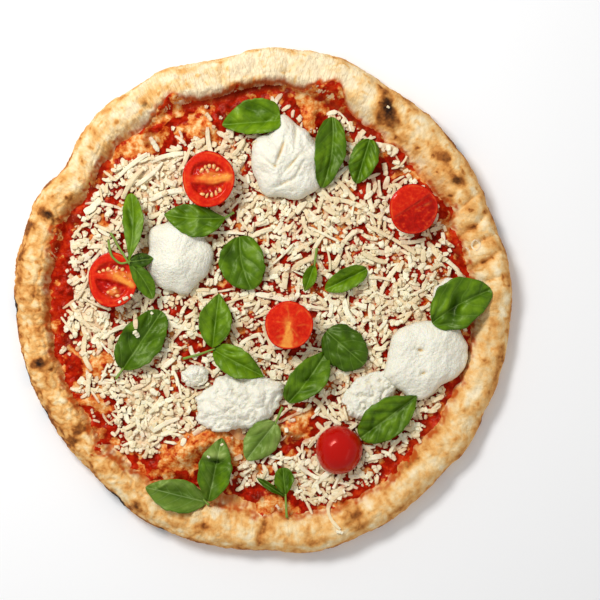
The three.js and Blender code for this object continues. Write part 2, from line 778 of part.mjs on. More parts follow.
function leafGeometry(grid) {
  const surface = new RingSurface();
  const upper = grid.map((row) => row.map(([x, y, z]) => surface.addPoint(x, y, z)));
  const lower = grid.map((row) => row.map(([x, y, z]) => surface.addPoint(x, y, z - leafThickness)));
  const lastRow = grid.length - 1;
  const lastColumn = leafAcross.length - 1;
  for (let row = 0; row < lastRow; row += 1) {
    for (let column = 0; column < lastColumn; column += 1) {
      for (const [sheet, faceUp] of [[upper, true], [lower, false]]) {
        const [near, left] = [sheet[row][column], sheet[row][column + 1]];
        const [ahead, far] = [sheet[row + 1][column], sheet[row + 1][column + 1]];
        surface.addTriangle(near, ahead, left, faceUp);
        surface.addTriangle(ahead, far, left, faceUp);
      }
    }
  }
  const border = [];
  for (let row = 0; row < lastRow; row += 1) border.push([row, 0]);
  for (let column = 0; column < lastColumn; column += 1) border.push([lastRow, column]);
  for (let row = lastRow; row > 0; row -= 1) border.push([row, lastColumn]);
  for (let column = lastColumn; column > 0; column -= 1) border.push([0, column]);
  border.forEach(([row, column], step) => {
    const [nextRow, nextColumn] = border[(step + 1) % border.length];
    surface.addTriangle(lower[row][column], lower[nextRow][nextColumn], upper[row][column], true);
    surface.addTriangle(lower[nextRow][nextColumn], upper[nextRow][nextColumn], upper[row][column], true);
  });
  return surface.toGeometry();
}

const stemSides = 6;
const stemStep = 5;

// Points that a stretch of stem covers in plan
function stemFootprint(plan, share, reach) {
  return [-1, -0.5, 0, 0.5, 1].flatMap((offset) => {
    const at = clamp(share + offset * reach, 0, 1);
    const middle = plan.getPointAt(at);
    const ahead = plan.getTangentAt(at);
    return [-1, 0, 1].map((side) => [
      middle.x - side * stemRadius * ahead.y,
      middle.y + side * stemRadius * ahead.x,
    ]);
  });
}

// A stem runs just above the ground, and rises to the junction at its last point
function stemPath(route, junction) {
  const plan = new THREE.CatmullRomCurve3(route.map(([x, y]) => new THREE.Vector3(x, y, 0)));
  const steps = Math.max(2, Math.round(plan.getLength() / stemStep));
  const points = plan.getSpacedPoints(steps);
  points.forEach((point, step) => {
    const around = stemFootprint(plan, step / steps, 1 / steps);
    const ground = Math.max(...around.map(([x, y]) => surfaceUnder(x, y).height)) + restGap + stemRadius;
    const share = step / steps;
    point.z = Math.max(ground, THREE.MathUtils.lerp(ground, junction.z, share * share));
  });
  points.at(-1).z = junction.z;
  return points;
}

function stemGeometry(points) {
  const section = new THREE.Shape();
  section.absarc(0, 0, stemRadius, 0, 2 * Math.PI);
  return new THREE.ExtrudeGeometry(section, {
    extrudePath: new THREE.CatmullRomCurve3(points),
    steps: points.length,
    curveSegments: stemSides / 2,
    bevelEnabled: false,
  });
}

// A single leaf, or a sprig whose leaves and stems meet at a junction
function addBasil(name, { leaves, stems = [], junction, raised = 0 }) {
  let pivot = null;
  if (junction) {
    pivot = new THREE.Vector3(...junction, surfaceUnder(...junction).height + restGap + stemRadius + raised);
  }
  const sheets = leaves.map((leaf) => leafGeometry(layLeaf(leaf, pivot)));
  let geometry = sheets[0];
  if (junction) {
    const knot = new THREE.SphereGeometry(1.5 * stemRadius, 6, 4).translate(pivot.x, pivot.y, pivot.z);
    let sprig = toSolid(knot);
    for (const sheet of sheets) sprig = sprig.add(toSolid(sheet));
    for (const route of stems) sprig = sprig.add(toSolid(stemGeometry(stemPath(route, pivot))));
    geometry = toGeometry(largestBody(sprig));
  }
  addPiece(name, geometry, colours.leaf, 0.4);
}

// Strips of grated cheese: the longest first, each one only where it clears the toppings

function isClear(strip, toppings) {
  const halfLength = 0.5 * strip.length + stripClearance;
  const halfWidth = 0.5 * stripWidth + stripClearance;
  for (let along = -halfLength; along <= halfLength; along += 1) {
    for (const across of [-halfWidth, 0, halfWidth]) {
      const x = strip.x + along * Math.cos(strip.turn) - across * Math.sin(strip.turn);
      const y = strip.y + along * Math.sin(strip.turn) + across * Math.cos(strip.turn);
      const inside = cheeseEdge(degreesAt(x, y)) - Math.hypot(x, y);
      const onBare = bareBlisters.some((blister) => blisterLift(x, y, blister) > 0.2 * blister.height);
      if (inside < stripMargin || onBare || surfaceUnder(x, y, toppings).name) return false;
    }
  }
  return true;
}

function stripGeometry(strip, startHeight, endHeight) {
  const box = new THREE.BoxGeometry(strip.length, stripWidth, stripHeight);
  const middle = 0.5 * (startHeight + endHeight);
  box.rotateY(-Math.atan2(endHeight - startHeight, strip.length));
  box.rotateZ(strip.turn);
  box.translate(strip.x, strip.y, middle + stripShowing - 0.5 * stripHeight);
  return box;
}

function fuseStrips(bed, toppings) {
  const random = seededRandom(11);
  const kept = [];
  let solid = bed;
  const tries = 40 * stripCount;
  for (let attempt = 0; attempt < tries && kept.length < stripCount; attempt += 1) {
    const share = kept.length / stripCount;
    const radius = (meanRadius - rimWidthMean) * Math.sqrt(random());
    const bearing = 2 * Math.PI * random();
    const strip = {
      x: radius * Math.cos(bearing),
      y: radius * Math.sin(bearing),
      turn: Math.PI * random(),
      length: THREE.MathUtils.lerp(stripLongest, stripShortest, share),
    };
    const spacing = THREE.MathUtils.lerp(15, 9, share);
    const crowded = kept.some((other) => Math.hypot(other.x - strip.x, other.y - strip.y) < spacing);
    if (crowded || !isClear(strip, toppings)) continue;
    const reach = [0.5 * strip.length * Math.cos(strip.turn), 0.5 * strip.length * Math.sin(strip.turn)];
    const startHeight = surfaceUnder(strip.x - reach[0], strip.y - reach[1]).height;
    const endHeight = surfaceUnder(strip.x + reach[0], strip.y + reach[1]).height;
    solid = solid.add(toSolid(stripGeometry(strip, startHeight, endHeight)));
    kept.push(strip);
  }
  return largestBody(solid);
}

// Building the pizza

addPiece('crust', crustGeometry(), colours.dough, 0.8);
addPiece('tomato_sauce', layerGeometry(firstSauceRing, sauceBottom, sauceTop), colours.sauce, 0.35);

const bareBed = cheeseBed();
const bedPiece = addPiece('grated_cheese', toGeometry(bareBed), colours.gratedCheese, 0.55);

const layerCount = placed.length;
const below = spaceBelow();
for (const [name, blob] of Object.entries(softCheese)) {
  let solid = blobSolid(blob, below);
  if (name === 'mozzarella_right') {
    for (const end of tornEnds) solid = solid.add(blobSolid(end, below));
  }
  addPiece(name, toGeometry(largestBody(solid)), colours.softCheese, 0.45);
}

const underTomato = 'basil_05';
addBasil(underTomato, basil[underTomato]);
for (const [name, tomato] of Object.entries(tomatoes)) addTomato(name, tomato);
for (const [name, sprig] of Object.entries(basil)) {
  if (name !== underTomato) addBasil(name, sprig);
}

const fullBed = toGeometry(fuseStrips(bareBed, placed.slice(layerCount))).toNonIndexed();
fullBed.computeVertexNormals();
bedPiece.geometry = fullBed;

// The origin is under the middle of the outline's own box
const extent = new THREE.Box3().setFromObject(pizza);
const middle = extent.getCenter(new THREE.Vector3());
pizza.position.set(-middle.x, -middle.y, 0);

export default pizza;
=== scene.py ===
import json
import math
from itertools import product

import bpy
import numpy as np
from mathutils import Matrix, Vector
from mathutils.bvhtree import BVHTree

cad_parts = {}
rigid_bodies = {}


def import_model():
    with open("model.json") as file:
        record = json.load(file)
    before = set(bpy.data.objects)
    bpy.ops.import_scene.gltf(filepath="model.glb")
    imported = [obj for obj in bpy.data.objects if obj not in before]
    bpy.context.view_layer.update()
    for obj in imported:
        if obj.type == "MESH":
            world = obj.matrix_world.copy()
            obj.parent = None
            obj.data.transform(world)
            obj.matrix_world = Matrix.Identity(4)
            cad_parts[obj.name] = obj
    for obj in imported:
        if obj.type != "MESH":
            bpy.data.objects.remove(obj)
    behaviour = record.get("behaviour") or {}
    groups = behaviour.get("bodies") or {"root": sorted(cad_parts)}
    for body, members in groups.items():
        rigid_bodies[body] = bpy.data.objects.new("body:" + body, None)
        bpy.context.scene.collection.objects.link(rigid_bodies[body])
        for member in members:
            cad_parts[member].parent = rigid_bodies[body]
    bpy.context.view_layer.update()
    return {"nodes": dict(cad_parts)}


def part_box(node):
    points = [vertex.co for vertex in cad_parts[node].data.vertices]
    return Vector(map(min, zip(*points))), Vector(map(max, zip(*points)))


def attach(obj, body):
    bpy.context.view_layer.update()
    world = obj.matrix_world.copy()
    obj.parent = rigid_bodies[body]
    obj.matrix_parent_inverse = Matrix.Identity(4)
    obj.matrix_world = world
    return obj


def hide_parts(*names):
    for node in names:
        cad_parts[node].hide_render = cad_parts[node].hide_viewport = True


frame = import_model()
print("frame loaded:", len(frame["nodes"]), "nodes")

# Everything below is in millimetres and degrees, x to the right and y to the back, and is
# brought into the frame, in metres, when a mesh is made.
mm = 0.001
skyLevel = 60.0  # where rays start that look down
groundLevel = 4.0  # where rays start that look up at the toppings


def mix(first, second, share):
    return first + (second - first) * share


def smoothStep(value, low, high):
    share = np.clip((value - low) / (high - low), 0, 1)
    return share * share * (3 - 2 * share)


def bell(distance):
    return np.exp(-distance * distance)


def angleGap(first, second):
    return (first - second + 180) % 360 - 180


# Swells round the rim, each an angle, a spread and a rise
def sumOfBells(degrees, swells):
    return sum(rise * bell(angleGap(degrees, angle) / spread) for angle, spread, rise in swells)


def degreesAt(x, y):
    return np.degrees(np.arctan2(y, x))


def ringDegrees(count):
    return np.arange(count) * 360 / count


def polar(degrees, radius):
    return radius * np.cos(np.radians(degrees)), radius * np.sin(np.radians(degrees))


def rotated(x, y, turn):
    cosine, sine = np.cos(turn), np.sin(turn)
    return x * cosine - y * sine, x * sine + y * cosine


# An oval spot: its middle, half sizes, strength and turn
def spot(x, y, length, width, amount=1.0, turn=0):
    return {"x": x, "y": y, "length": length, "width": width, "amount": amount, "turn": turn}


def spots(*rows):
    return [spot(*row) for row in rows]


# A place as seen from a spot, along its length and across it
def seenFrom(mark, x, y):
    return rotated(x - mark["x"], y - mark["y"], -math.radians(mark["turn"]))


# 1 in the middle of a spot, and softly less round it
def ovalSpot(x, y, mark):
    along, across = seenFrom(mark, x, y)
    return bell(np.hypot(along / mark["length"], across / mark["width"]))


def spotSum(x, y, marks):
    return sum(mark["amount"] * ovalSpot(x, y, mark) for mark in marks)


# Smooth noise over a table of slope directions, from about -1 to 1
def latticeNoise(u, v, table):
    column, row = np.floor(u).astype(int), np.floor(v).astype(int)
    a, b = u - column, v - row
    columns, rows = table.shape

    def corner(right, up):
        slope = table[(column + right) % columns, (row + up) % rows]
        return np.cos(slope) * (a - right) + np.sin(slope) * (b - up)

    easeA, easeB = a * a * (3 - 2 * a), b * b * (3 - 2 * b)
    near, far = mix(corner(0, 0), corner(1, 0), easeA), mix(corner(0, 1), corner(1, 1), easeA)
    return 1.7 * mix(near, far, easeB)


noiseTables = {}


def noiseTable(seed, columns, rows):
    if (seed, columns) not in noiseTables:
        random = np.random.default_rng(seed)
        noiseTables[seed, columns] = random.uniform(0, 2 * np.pi, (columns, rows))
    return noiseTables[seed, columns]


# Smooth random hills from -1 to 1, each about one size across
def hills(x, y, size, seed):
    u, v = rotated(x, y, -0.7 * seed)
    return latticeNoise(u / size + 31.7 * seed, v / size + 17.3 * seed, noiseTable(seed, 128, 128))


# Hills of several sizes on each other, each a height, a size and a seed
def hillSum(x, y, *layers):
    return sum(height * hills(x, y, size, seed) for height, size, seed in layers)


# Pillows with creases between them, from about -1 to 1
def pillows(noise):
    return 2.6 * np.sqrt(np.abs(noise) + 0.02) - 1.3


# Hills round the rim: width is measured round it, and length from the outside in
def rimHills(degrees, travel, width, length, seed):
    count = round(2 * math.pi * crust["meanRadius"] / width)
    around = degrees % 360 * count / 360
    return latticeNoise(around, travel / length + 0.37 * seed, noiseTable(seed, count, 64))


# The same in several sizes, each a height, a width, a length and a seed
def rimHillSum(degrees, travel, *layers):
    return sum(layer[0] * rimHills(degrees, travel, *layer[1:]) for layer in layers)


crust = {
    "meanRadius": 150.3,
    # angle, spread and rise of each swell
    "outlineSwells": [
        (75, 16, 4.5), (115, 12, 2), (146, 6, -4.2), (217, 22, -4), (292, 18, 3.6), (20, 8, -1.8),
    ],
    "rimWidth": 25,
    "rimSwells": [(45, 25, 5), (182, 18, -3), (222, 14, -7), (247, 9, 6)],
    "rimHeight": 17,
    "slopeDelay": 1.75,  # how late the inner slope falls away; 1 is even
    "steeperSlopes": [(90, 20, 1.6), (125, 10, 0.5), (185, 25, 0.7)],  # angle, spread, how much later
    "lipHeading": 84,  # where the steep inner slope has a stained lip and a painted shadow on the sauce below it
    "crownInset": 10,
    "crownTravel": 17.0,  # along the surface, from the outermost line to the crown
    "edgeHeight": 5.5,
    "edgeRound": 5,
    # angle, spread and depth of each crease, and how far it drifts round on its way in
    "creases": [
        (10.5, 2.6, 5.4, -4), (19.5, 2.5, 5.0, -4), (15.0, 2.0, 3.8, -3.6), (25.5, 2.0, 3.0, -3),
        (5.5, 2.0, 2.6, -3), (84, 2.0, 2.2, -1), (92, 1.5, 1.0, 0), (100, 2.0, 2.0, 2), (76, 1.4, 0.9, -2),
        (108, 1.5, 0.9, 1), (186, 2.2, 1.8, -2), (171, 1.6, 1.0, 2), (255, 2.2, 3.6, -5), (270, 2.2, 3.2, 4),
        (262, 1.5, 1.6, -3), (243, 1.8, 1.2, -3), (330, 2.0, 1.4, 2), (349, 2.0, 1.6, 2),
        (300, 2.0, 1.2, -2), (62, 1.8, 1.2, 2),
    ],
    # middle, half sizes, height and turn of each
    "bubbles": spots(
        (-34.5, 103.2, 9, 5.5, 4, 25), (-67.5, 98.4, 11, 6.6, 4.5, 30), (23.1, 124.2, 11.4, 4, 3, -10),
        (29.1, 111.6, 4, 9, 3.5), (73.5, 92.4, 6, 5, 3), (-99.9, -37.2, 10.5, 8.4, 4),
        (-101.1, -60, 11.4, 5, 3.5, -20), (-42.3, -87.6, 18, 7, 8, 29), (-15.9, -88.8, 13, 6, 6, -46),
        (19.5, -75.6, 9, 7.5, 4, 20), (4.5, -122.4, 9, 6.6, 4), (109.5, 38.4, 4, 7.5, 3),
        (101.7, 15, 5, 5, 3), (50.7, -66, 5, 5, 2.5), (63.3, -102, 5, 5, 2.5), (50.1, -126.6, 4.5, 4.5, 3),
    ),
    # toasted spots on the rim: middle, half sizes, how black the middle gets, turn
    "toastedSpots": spots(
        (75.5, 117, 7, 3.5, 0.75, -75), (79, 107, 8, 4, 0.35, -60), (71, 113, 9, 4, 0.2, 80),
        (116, 72.5, 4, 3.2, 0.6), (-70.5, 118.2, 3.5, 2.5, 0.5), (-128, 52, 5, 2.5, 0.75, -35),
        (-139.5, 46, 5, 2.2, 0.4, 10), (-133.5, -36.6, 3.4, 3, 0.8), (-112.5, -82.8, 5, 3.4, 0.3, 60),
        (-75.3, -121.8, 4, 3.2, 0.5), (-104, -107, 12, 2.2, 0.45, -45), (115.5, 97, 7, 1.6, 0.7, -52),
        (142.5, 67, 8, 4, 0.05, -65), (108, 88, 6, 4, 0.1, -50), (50.1, -126.6, 5, 4, 0.05),
    ),
    # stretches of the outermost edge that are burnt black: angle, spread, depth
    "burntEdge": [
        (181, 3, 3), (197.5, 2.5, 3), (233.5, 3, 3.4), (38, 1.6, 1.4), (246, 1.5, 2), (17, 1.2, 1.2),
        (207, 2, 2),
    ],
    # browner and paler stretches of the rim, partly its browning and partly painted light and shade, paler
    # at the back towards the lamp: angle, spread, rise
    "tanAndShadeStretches": [
        (85, 26, -0.22), (172, 30, 0.24), (118, 14, -0.02), (212, 26, 0.2), (262, 30, 0.15), (40, 22, 0.12),
        (0, 22, 0.09), (310, 30, 0.14),
    ],
    "ringPoints": 1400,  # round the crown of the fine mesh
}


def outerRadius(degrees):
    waves = 0.7 * np.sin(np.radians(9 * degrees + 40)) + 0.45 * np.sin(np.radians(17 * degrees))
    return crust["meanRadius"] + waves + sumOfBells(degrees, crust["outlineSwells"])


# The heading of a place and its distance in from the outermost line
def rimPlace(x, y):
    degrees = degreesAt(x, y)
    return degrees, outerRadius(degrees) - np.hypot(x, y)


def rimWidth(degrees):
    ripple = 1.2 * np.sin(np.radians(7 * degrees))
    return crust["rimWidth"] + ripple + sumOfBells(degrees, crust["rimSwells"])


def crownHeight(degrees):
    lumps = 0.7 * np.sin(np.radians(5 * degrees + 30)) + 0.5 * np.sin(np.radians(13 * degrees))
    return crust["rimHeight"] + lumps + 0.12 * (rimWidth(degrees) - crust["rimWidth"])


# The level from the crown down to the floor
def innerSlope(degrees, inset):
    start, base = crust["crownInset"], crust["edgeHeight"]
    delay = crust["slopeDelay"] + sumOfBells(degrees, crust["steeperSlopes"])
    down = np.clip((inset - start) / (rimWidth(degrees) - start), 0, 1) ** delay
    return base + (crownHeight(degrees) - base) * 0.5 * (1 + np.cos(np.pi * down))


def bubbleLift(x, y):
    return spotSum(x, y, crust["bubbles"])


# How far along the surface a point on the inner side is from the outermost line
def travelAt(inset):
    return crust["crownTravel"] + np.maximum(inset - crust["crownInset"], 0)


# Sharp creases across the rim, deepest halfway in
def creaseDepth(degrees, inset):
    across = np.clip(inset / rimWidth(degrees), 0, 1)
    bent = degrees + 0.4 * rimHills(degrees, inset, 12, 9, 29)
    depth = sum(deep * np.exp(-2.2 * np.abs(angleGap(bent, angle + drift * (across - 0.5)) / spread))
                for angle, spread, deep, drift in crust["creases"])
    return np.sin(np.pi * across) * depth


# How much the dry skin of the rim is wrinkled
def dryness(degrees):
    return 0.4 + 0.6 * bell(angleGap(degrees, 100) / 60)


# Blisters of two sizes, each a width, a length and a seed; the rim's colour is paler on the larger ones and
# darker between them
blisters = {"large": (5.2, 4.6, 3), "small": (2.6, 2.4, 4)}


# Fine relief of the baked rim: swells, blisters, and wrinkles that run across it
def rimRelief(degrees, travel):
    inward = smoothStep(travel, 14, 27)
    swells = rimHillSum(degrees, travel, (1.0, 17, 13, 1), (0.6, 8, 7, 2))
    blistered = 0.46 * pillows(rimHills(degrees, travel, *blisters["large"]))
    blistered += 0.24 * pillows(rimHills(degrees, travel, *blisters["small"]))
    bent = degrees + 1.1 * rimHills(degrees, travel, 8, 6, 9)
    wrinkles = (1 - np.abs(rimHills(bent, travel, 4.2, 14, 5))) ** 6
    wrinkles += 0.8 * (1 - np.abs(rimHills(bent, travel, 2.6, 8, 6))) ** 5
    patches = smoothStep(rimHills(degrees, travel, 16, 12, 10), -0.6, 0.2)
    puffed = mix(0.4, 1.1, inward) * (1 + 1.3 * bell(angleGap(degrees, 195) / 50))
    wrinkled = 0.65 * dryness(degrees) * wrinkles * mix(patches, 0.3 * patches, inward)
    return swells + blistered * puffed - wrinkled


def doughTop(x, y):
    degrees, inset = rimPlace(x, y)
    inset = np.maximum(inset, 0)
    crown, width = crownHeight(degrees), rimWidth(degrees)
    outward = np.clip(1 - inset / crust["crownInset"], 0, 1)
    onCrown = crust["edgeHeight"] + (crown - crust["edgeHeight"]) * np.sqrt(1 - outward ** 2)
    form = np.where(inset < crust["crownInset"], onCrown, innerSlope(degrees, inset))
    form -= creaseDepth(degrees, inset)
    onRim = 1 - smoothStep(inset, width - 4, width + 3)
    floor = 0.6 * hills(x, y, 11, 7) + 0.4 * pillows(hills(x, y, 7, 8))
    return form + bubbleLift(x, y) + onRim * rimRelief(degrees, travelAt(inset)) + (1 - onRim) * floor


sauce = {
    "thickness": 1.35,
    "overRim": 2.2,  # how far it climbs the inner slope
    # splashes higher up the rim: angle, spread, reach
    "splashes": [
        (114, 3, 8), (119, 2, 3), (71, 4.5, 10), (88, 20, 1.4), (163, 6, 5.5), (144, 4, 3), (42, 7, -2),
        (248, 8, -2), (222, 4, 5), (205, 5, 2), (25, 5, 3), (13, 3, 3), (270, 3, 3), (308, 7, 3),
        (330, 8, 2),
    ],
    # where it is smeared thin: angle, spread, rise
    "smeared": [
        (117, 16, 0.65), (75, 10, 0.3), (150, 8, 0.2), (212, 10, 0.2), (240, 16, 0.2), (266, 14, 0.25),
        (30, 20, 0.15),
    ],
    # stretches that stay clear of sauce: middle, half sizes, strength and turn
    "dry": spots(
        (-37, -118, 24, 7, 1, -12), (-20, -126, 18, 8), (-88, -93, 12, 5, 1, -35),
    ),
    # dark pools between the folds of the floor, and the folds
    "pools": spots(
        (-65, 104.5, 5.4, 2.5, 1, 8), (-50, 108.6, 8.5, 1.8, 1, 14), (-42, 116, 3.6, 2.4, 1, 50),
        (-56.5, 119, 8, 2.3, 1, 100), (-23, 121, 8, 3.6, 1, -10), (-28, 107, 6, 2, 1, -60),
        (-54, 98, 5, 2, 1, 110), (-98, 66, 7, 3.4, 1, 60), (-44, 94, 6, 2, 1, 35),
    ),
    "folds": spots(
        (-50, 113, 9, 1.5, 1, 14), (-45, 105.4, 8, 1.3, 1, 30), (-66, 109.6, 7, 1.5, 1, 18),
        (-34, 113, 5, 1.3, 1, -50),
    ),
}


# The distance from the outer edge in to the edge of the sauce
def sauceInset(degrees):
    ragged = rimHillSum(degrees, 0 * degrees, (1.8, 13, 1, 11), (1.6, 5.5, 1, 12), (0.8, 2.4, 1, 13))
    return rimWidth(degrees) - sauce["overRim"] + ragged - sumOfBells(degrees, sauce["splashes"])


# 1 where sauce lies, 0 on bare dough
def sauceCover(x, y):
    degrees, inset = rimPlace(x, y)
    cover = smoothStep(inset, sauceInset(degrees), sauceInset(degrees) + 2.5)
    dry = np.clip(spotSum(x, y, sauce["dry"]), 0, 1)
    return cover * (1 - smoothStep(dry + 0.2 * hills(x, y, 5, 14), 0.35, 0.65))


def sauceTop(x, y):
    cover = sauceCover(x, y)
    pulp = hillSum(x, y, (0.62, 4.6, 15), (0.34, 2.3, 16)) + 1.3 * spotSum(x, y, sauce["folds"])
    pulp = np.maximum(pulp - 0.5 * spotSum(x, y, sauce["pools"]), np.minimum(pulp, -0.3))
    return doughTop(x, y) + cover * (sauce["thickness"] + pulp) - 0.8 * (1 - cover)


cheese = {
    "margin": 2,
    "depth": 2.2,
    "bays": [(80, 8, 10), (108, 13, 20), (126, 8, 12), (247, 11, 34), (272, 8, 12)],  # angle, spread, depth
    # where little or no cheese fell: middle, half sizes, how much less and turn
    "barePatches": spots(
        (-99.9, -37.2, 11, 8, 1.1), (-101, -60, 13, 6, 0.9, -20), (-93, -79, 9, 9, 0.8),
        (-30, -88, 30, 12, 1.0, 10), (-45, -104, 20, 10, 1.0), (24, -74, 18, 11, 0.9, 15),
        (4, -121, 12, 9, 1.0), (-34, -27, 15, 8, 0.75, 10), (-21, 14, 8, 7, 0.6),
        (72, 82, 16, 10, 0.8, -40), (60, 68, 10, 9, 0.5), (29, 114, 12, 11, 0.9), (112, 35, 7, 14, 0.7, 15),
        (96, 40, 8, 6, 0.4), (78, -100, 12, 8, 0.7), (-116, -30, 6, 30, 0.6), (-118, 40, 8, 14, 0.7, 15),
        (-122, 8, 7, 30, 1.0), (-93, 60, 12, 6, 0.5, 60), (7, 52, 9, 5, 0.35), (-57, -52, 6, 5, 0.5),
        (-44, -70, 8, 5, 0.35),
    ),
    # where it lies thick and has run together
    "thickPatches": spots(
        (-70, 86, 20, 12, 0.45, 20), (-62, 72, 18, 14, 0.35), (-108, 18, 9, 26, 0.3, -10),
        (-103, -12, 16, 14, 0.45), (-62, -66, 30, 16, 0.5, -35), (-72, -88, 10, 20, 0.5, 10),
        (-46, -44, 14, 8, 0.3), (-3, 60, 16, 14, 0.25), (34, 42, 30, 16, 0.15), (62, -14, 20, 20, 0.3),
        (58, -52, 14, 12, 0.4), (30, -106, 20, 12, 0.3), (88, -6, 14, 12, 0.25),
    ),
}


def cheeseEdge(degrees):
    ragged = 1.3 * np.sin(np.radians(23 * degrees)) + 1.1 * np.sin(np.radians(37 * degrees + 60))
    bays = sumOfBells(degrees, cheese["bays"])
    return outerRadius(degrees) - rimWidth(degrees) - cheese["margin"] - bays + ragged


def insideCheese(x, y):
    return cheeseEdge(degreesAt(x, y)) - np.hypot(x, y)


# The smooth level on which the toppings rest
def bedTop(x, y):
    degrees, inset = rimPlace(x, y)
    depth = cheese["depth"] * (0.55 + 0.45 * smoothStep(insideCheese(x, y), -2, 10))
    return innerSlope(degrees, inset) + bubbleLift(x, y) + 1.7 + depth


# How likely a shred is to lie there, and how much has run together
def cheeseDensity(x, y):
    density = 0.71 + hillSum(x, y, (0.28, 13, 21), (0.2, 6, 22))
    return density - spotSum(x, y, cheese["barePatches"]) + spotSum(x, y, cheese["thickPatches"])


# The frame's middle is the middle of the crust's box
def frameShift():
    around = ringDegrees(96)  # as many points as the solid's outline has
    x, y = polar(around, outerRadius(around))
    low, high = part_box("crust")
    middle = (low + high) / 2 / mm
    return np.array([middle.x - (x.min() + x.max()) / 2, middle.y - (y.min() + y.max()) / 2, 0])


shift = frameShift()
print("plan shifted by", shift.round(2), "mm")


def makePiece(name, points, faces, masks, material, slot, nodes=(), smooth=True):
    mesh = bpy.data.meshes.new(name)
    mesh.from_pydata(((np.asarray(points) + shift) * mm).tolist(), [], faces)
    mesh.validate()
    mesh.polygons.foreach_set("use_smooth", np.full(len(mesh.polygons), smooth))
    for mask, values in masks.items():
        attribute = mesh.attributes.new(mask, "FLOAT", "POINT")
        attribute.data.foreach_set("value", np.asarray(values, np.float32))
    mesh.materials.append(material)
    mesh.update()
    piece = bpy.data.objects.new(name, mesh)
    bpy.context.scene.collection.objects.link(piece)
    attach(piece, "root")
    if nodes:
        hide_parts(*nodes)
    triangles = sum(len(polygon.vertices) - 2 for polygon in mesh.polygons)
    print(f"{name}: {triangles} triangles")
    return piece


# Faces between two rings; the inner one has as many points, or half as many
def joinRings(outerStart, outerCount, innerStart, innerCount, faceUp=True):
    step = np.arange(innerCount)
    after = (step + 1) % innerCount
    if outerCount == innerCount:
        corners = [outerStart + step, outerStart + after, innerStart + after, innerStart + step]
        faces = np.stack(corners, 1).tolist()
    else:
        first, second, third = (outerStart + (2 * step + k) % outerCount for k in range(3))
        faces = np.stack([first, second, innerStart + step], 1).tolist()
        faces += np.stack([second, third, innerStart + after, innerStart + step], 1).tolist()
    return faces if faceUp else [face[::-1] for face in faces]


def ringStarts(counts):
    return np.concatenate([[0], np.cumsum(counts)[:-1]]).tolist()


# Joins rings of points from outside in, and closes the last on its middle
def joinDisc(starts, counts):
    faces = []
    for k in range(len(starts) - 1):
        faces += joinRings(starts[k], counts[k], starts[k + 1], counts[k + 1])
    return faces + [list(range(starts[-1], starts[-1] + counts[-1]))]


# One body of several, each points, faces and perhaps masks
def joinBodies(bodies):
    points, faces = [], []
    for body, sides, *_ in bodies:
        start = sum(len(part) for part in points)
        faces += [[start + index for index in face] for face in sides]
        points.append(body)
    return np.concatenate(points), faces


def srgb(red, green, blue):
    return tuple((value / 255 / 12.92 if value <= 10 else ((value / 255 + 0.055) / 1.055) ** 2.4)
                 for value in (red, green, blue)) + (1,)


def addNode(tree, kind, inputs=None, **settings):
    made = tree.nodes.new(kind)
    for key, value in settings.items():
        setattr(made, key, value)
    for key, value in (inputs or {}).items():
        if isinstance(value, bpy.types.NodeSocket):
            tree.links.new(value, made.inputs[key])
        else:
            made.inputs[key].default_value = value
    return made


def attributeValue(tree, name):
    return addNode(tree, "ShaderNodeAttribute", attribute_name=name).outputs["Fac"]


def calculate(tree, operation, *values):
    return addNode(tree, "ShaderNodeMath", dict(enumerate(values)), operation=operation).outputs[0]


def vectorMath(tree, operation, inputs):
    return addNode(tree, "ShaderNodeVectorMath", inputs, operation=operation).outputs[0]


def blendColours(tree, share, first, second):
    return addNode(tree, "ShaderNodeMix", {0: share, 6: first, 7: second}, data_type="RGBA").outputs[2]


# 1 up to the first value and 0 from the second on
def fadeOut(tree, value, start, end):
    reach = {"Value": value, "From Min": start, "From Max": end, "To Min": 1.0, "To Max": 0.0}
    return addNode(tree, "ShaderNodeMapRange", reach).outputs[0]


def ramp(tree, share, *stops):
    made = addNode(tree, "ShaderNodeValToRGB", {"Fac": share})
    elements = made.color_ramp.elements
    while len(elements) < len(stops):
        elements.new(0.5)
    for element, (position, *colour) in zip(elements, stops):
        element.position = position
        element.color = srgb(*colour)
    return made.outputs["Color"]


def newMaterial(name, **finish):
    material = bpy.data.materials.new(name)
    material.use_nodes = True
    shader = material.node_tree.nodes["Principled BSDF"]
    for key, value in finish.items():
        shader.inputs[key.replace("_", " ")].default_value = value
    return material, material.node_tree, shader


# A group with its inputs and one output; also gives its input sockets, its output and the place
def newGroup(name, inputs, output):
    group = bpy.data.node_groups.new(name, "ShaderNodeTree")
    for key, value in inputs.items():
        socket = group.interface.new_socket(name=key, in_out="INPUT", socket_type="NodeSocketFloat")
        socket.default_value = value
    group.interface.new_socket(name=output, in_out="OUTPUT", socket_type="NodeSocketFloat")
    given, result = addNode(group, "NodeGroupInput"), addNode(group, "NodeGroupOutput")
    place = addNode(group, "ShaderNodeNewGeometry").outputs["Position"]
    return group, given.outputs, result.inputs[output], place


def placeGroup(tree, group, output, **inputs):
    named = {key.replace("_", " "): value for key, value in inputs.items()}
    return addNode(tree, "ShaderNodeGroup", named, node_tree=group).outputs[output]


# Mottling of two sizes, from 0 to 1 with its middle at one half
def makeSpeckleGroup():
    group, given, mask, place = newGroup(
        "foodSpeckle", {"Size mm": 4.0, "Detail": 3.0, "Contrast": 1.0}, "Mask")
    scale = calculate(group, "DIVIDE", 1 / mm, given["Size mm"])
    noise = addNode(group, "ShaderNodeTexNoise", {
        "Vector": place, "Scale": scale, "Detail": given["Detail"], "Roughness": 0.6}).outputs[0]
    centred = calculate(group, "SUBTRACT", noise, 0.5)
    group.links.new(calculate(group, "MULTIPLY_ADD", centred, given["Contrast"], 0.5), mask)
    return group


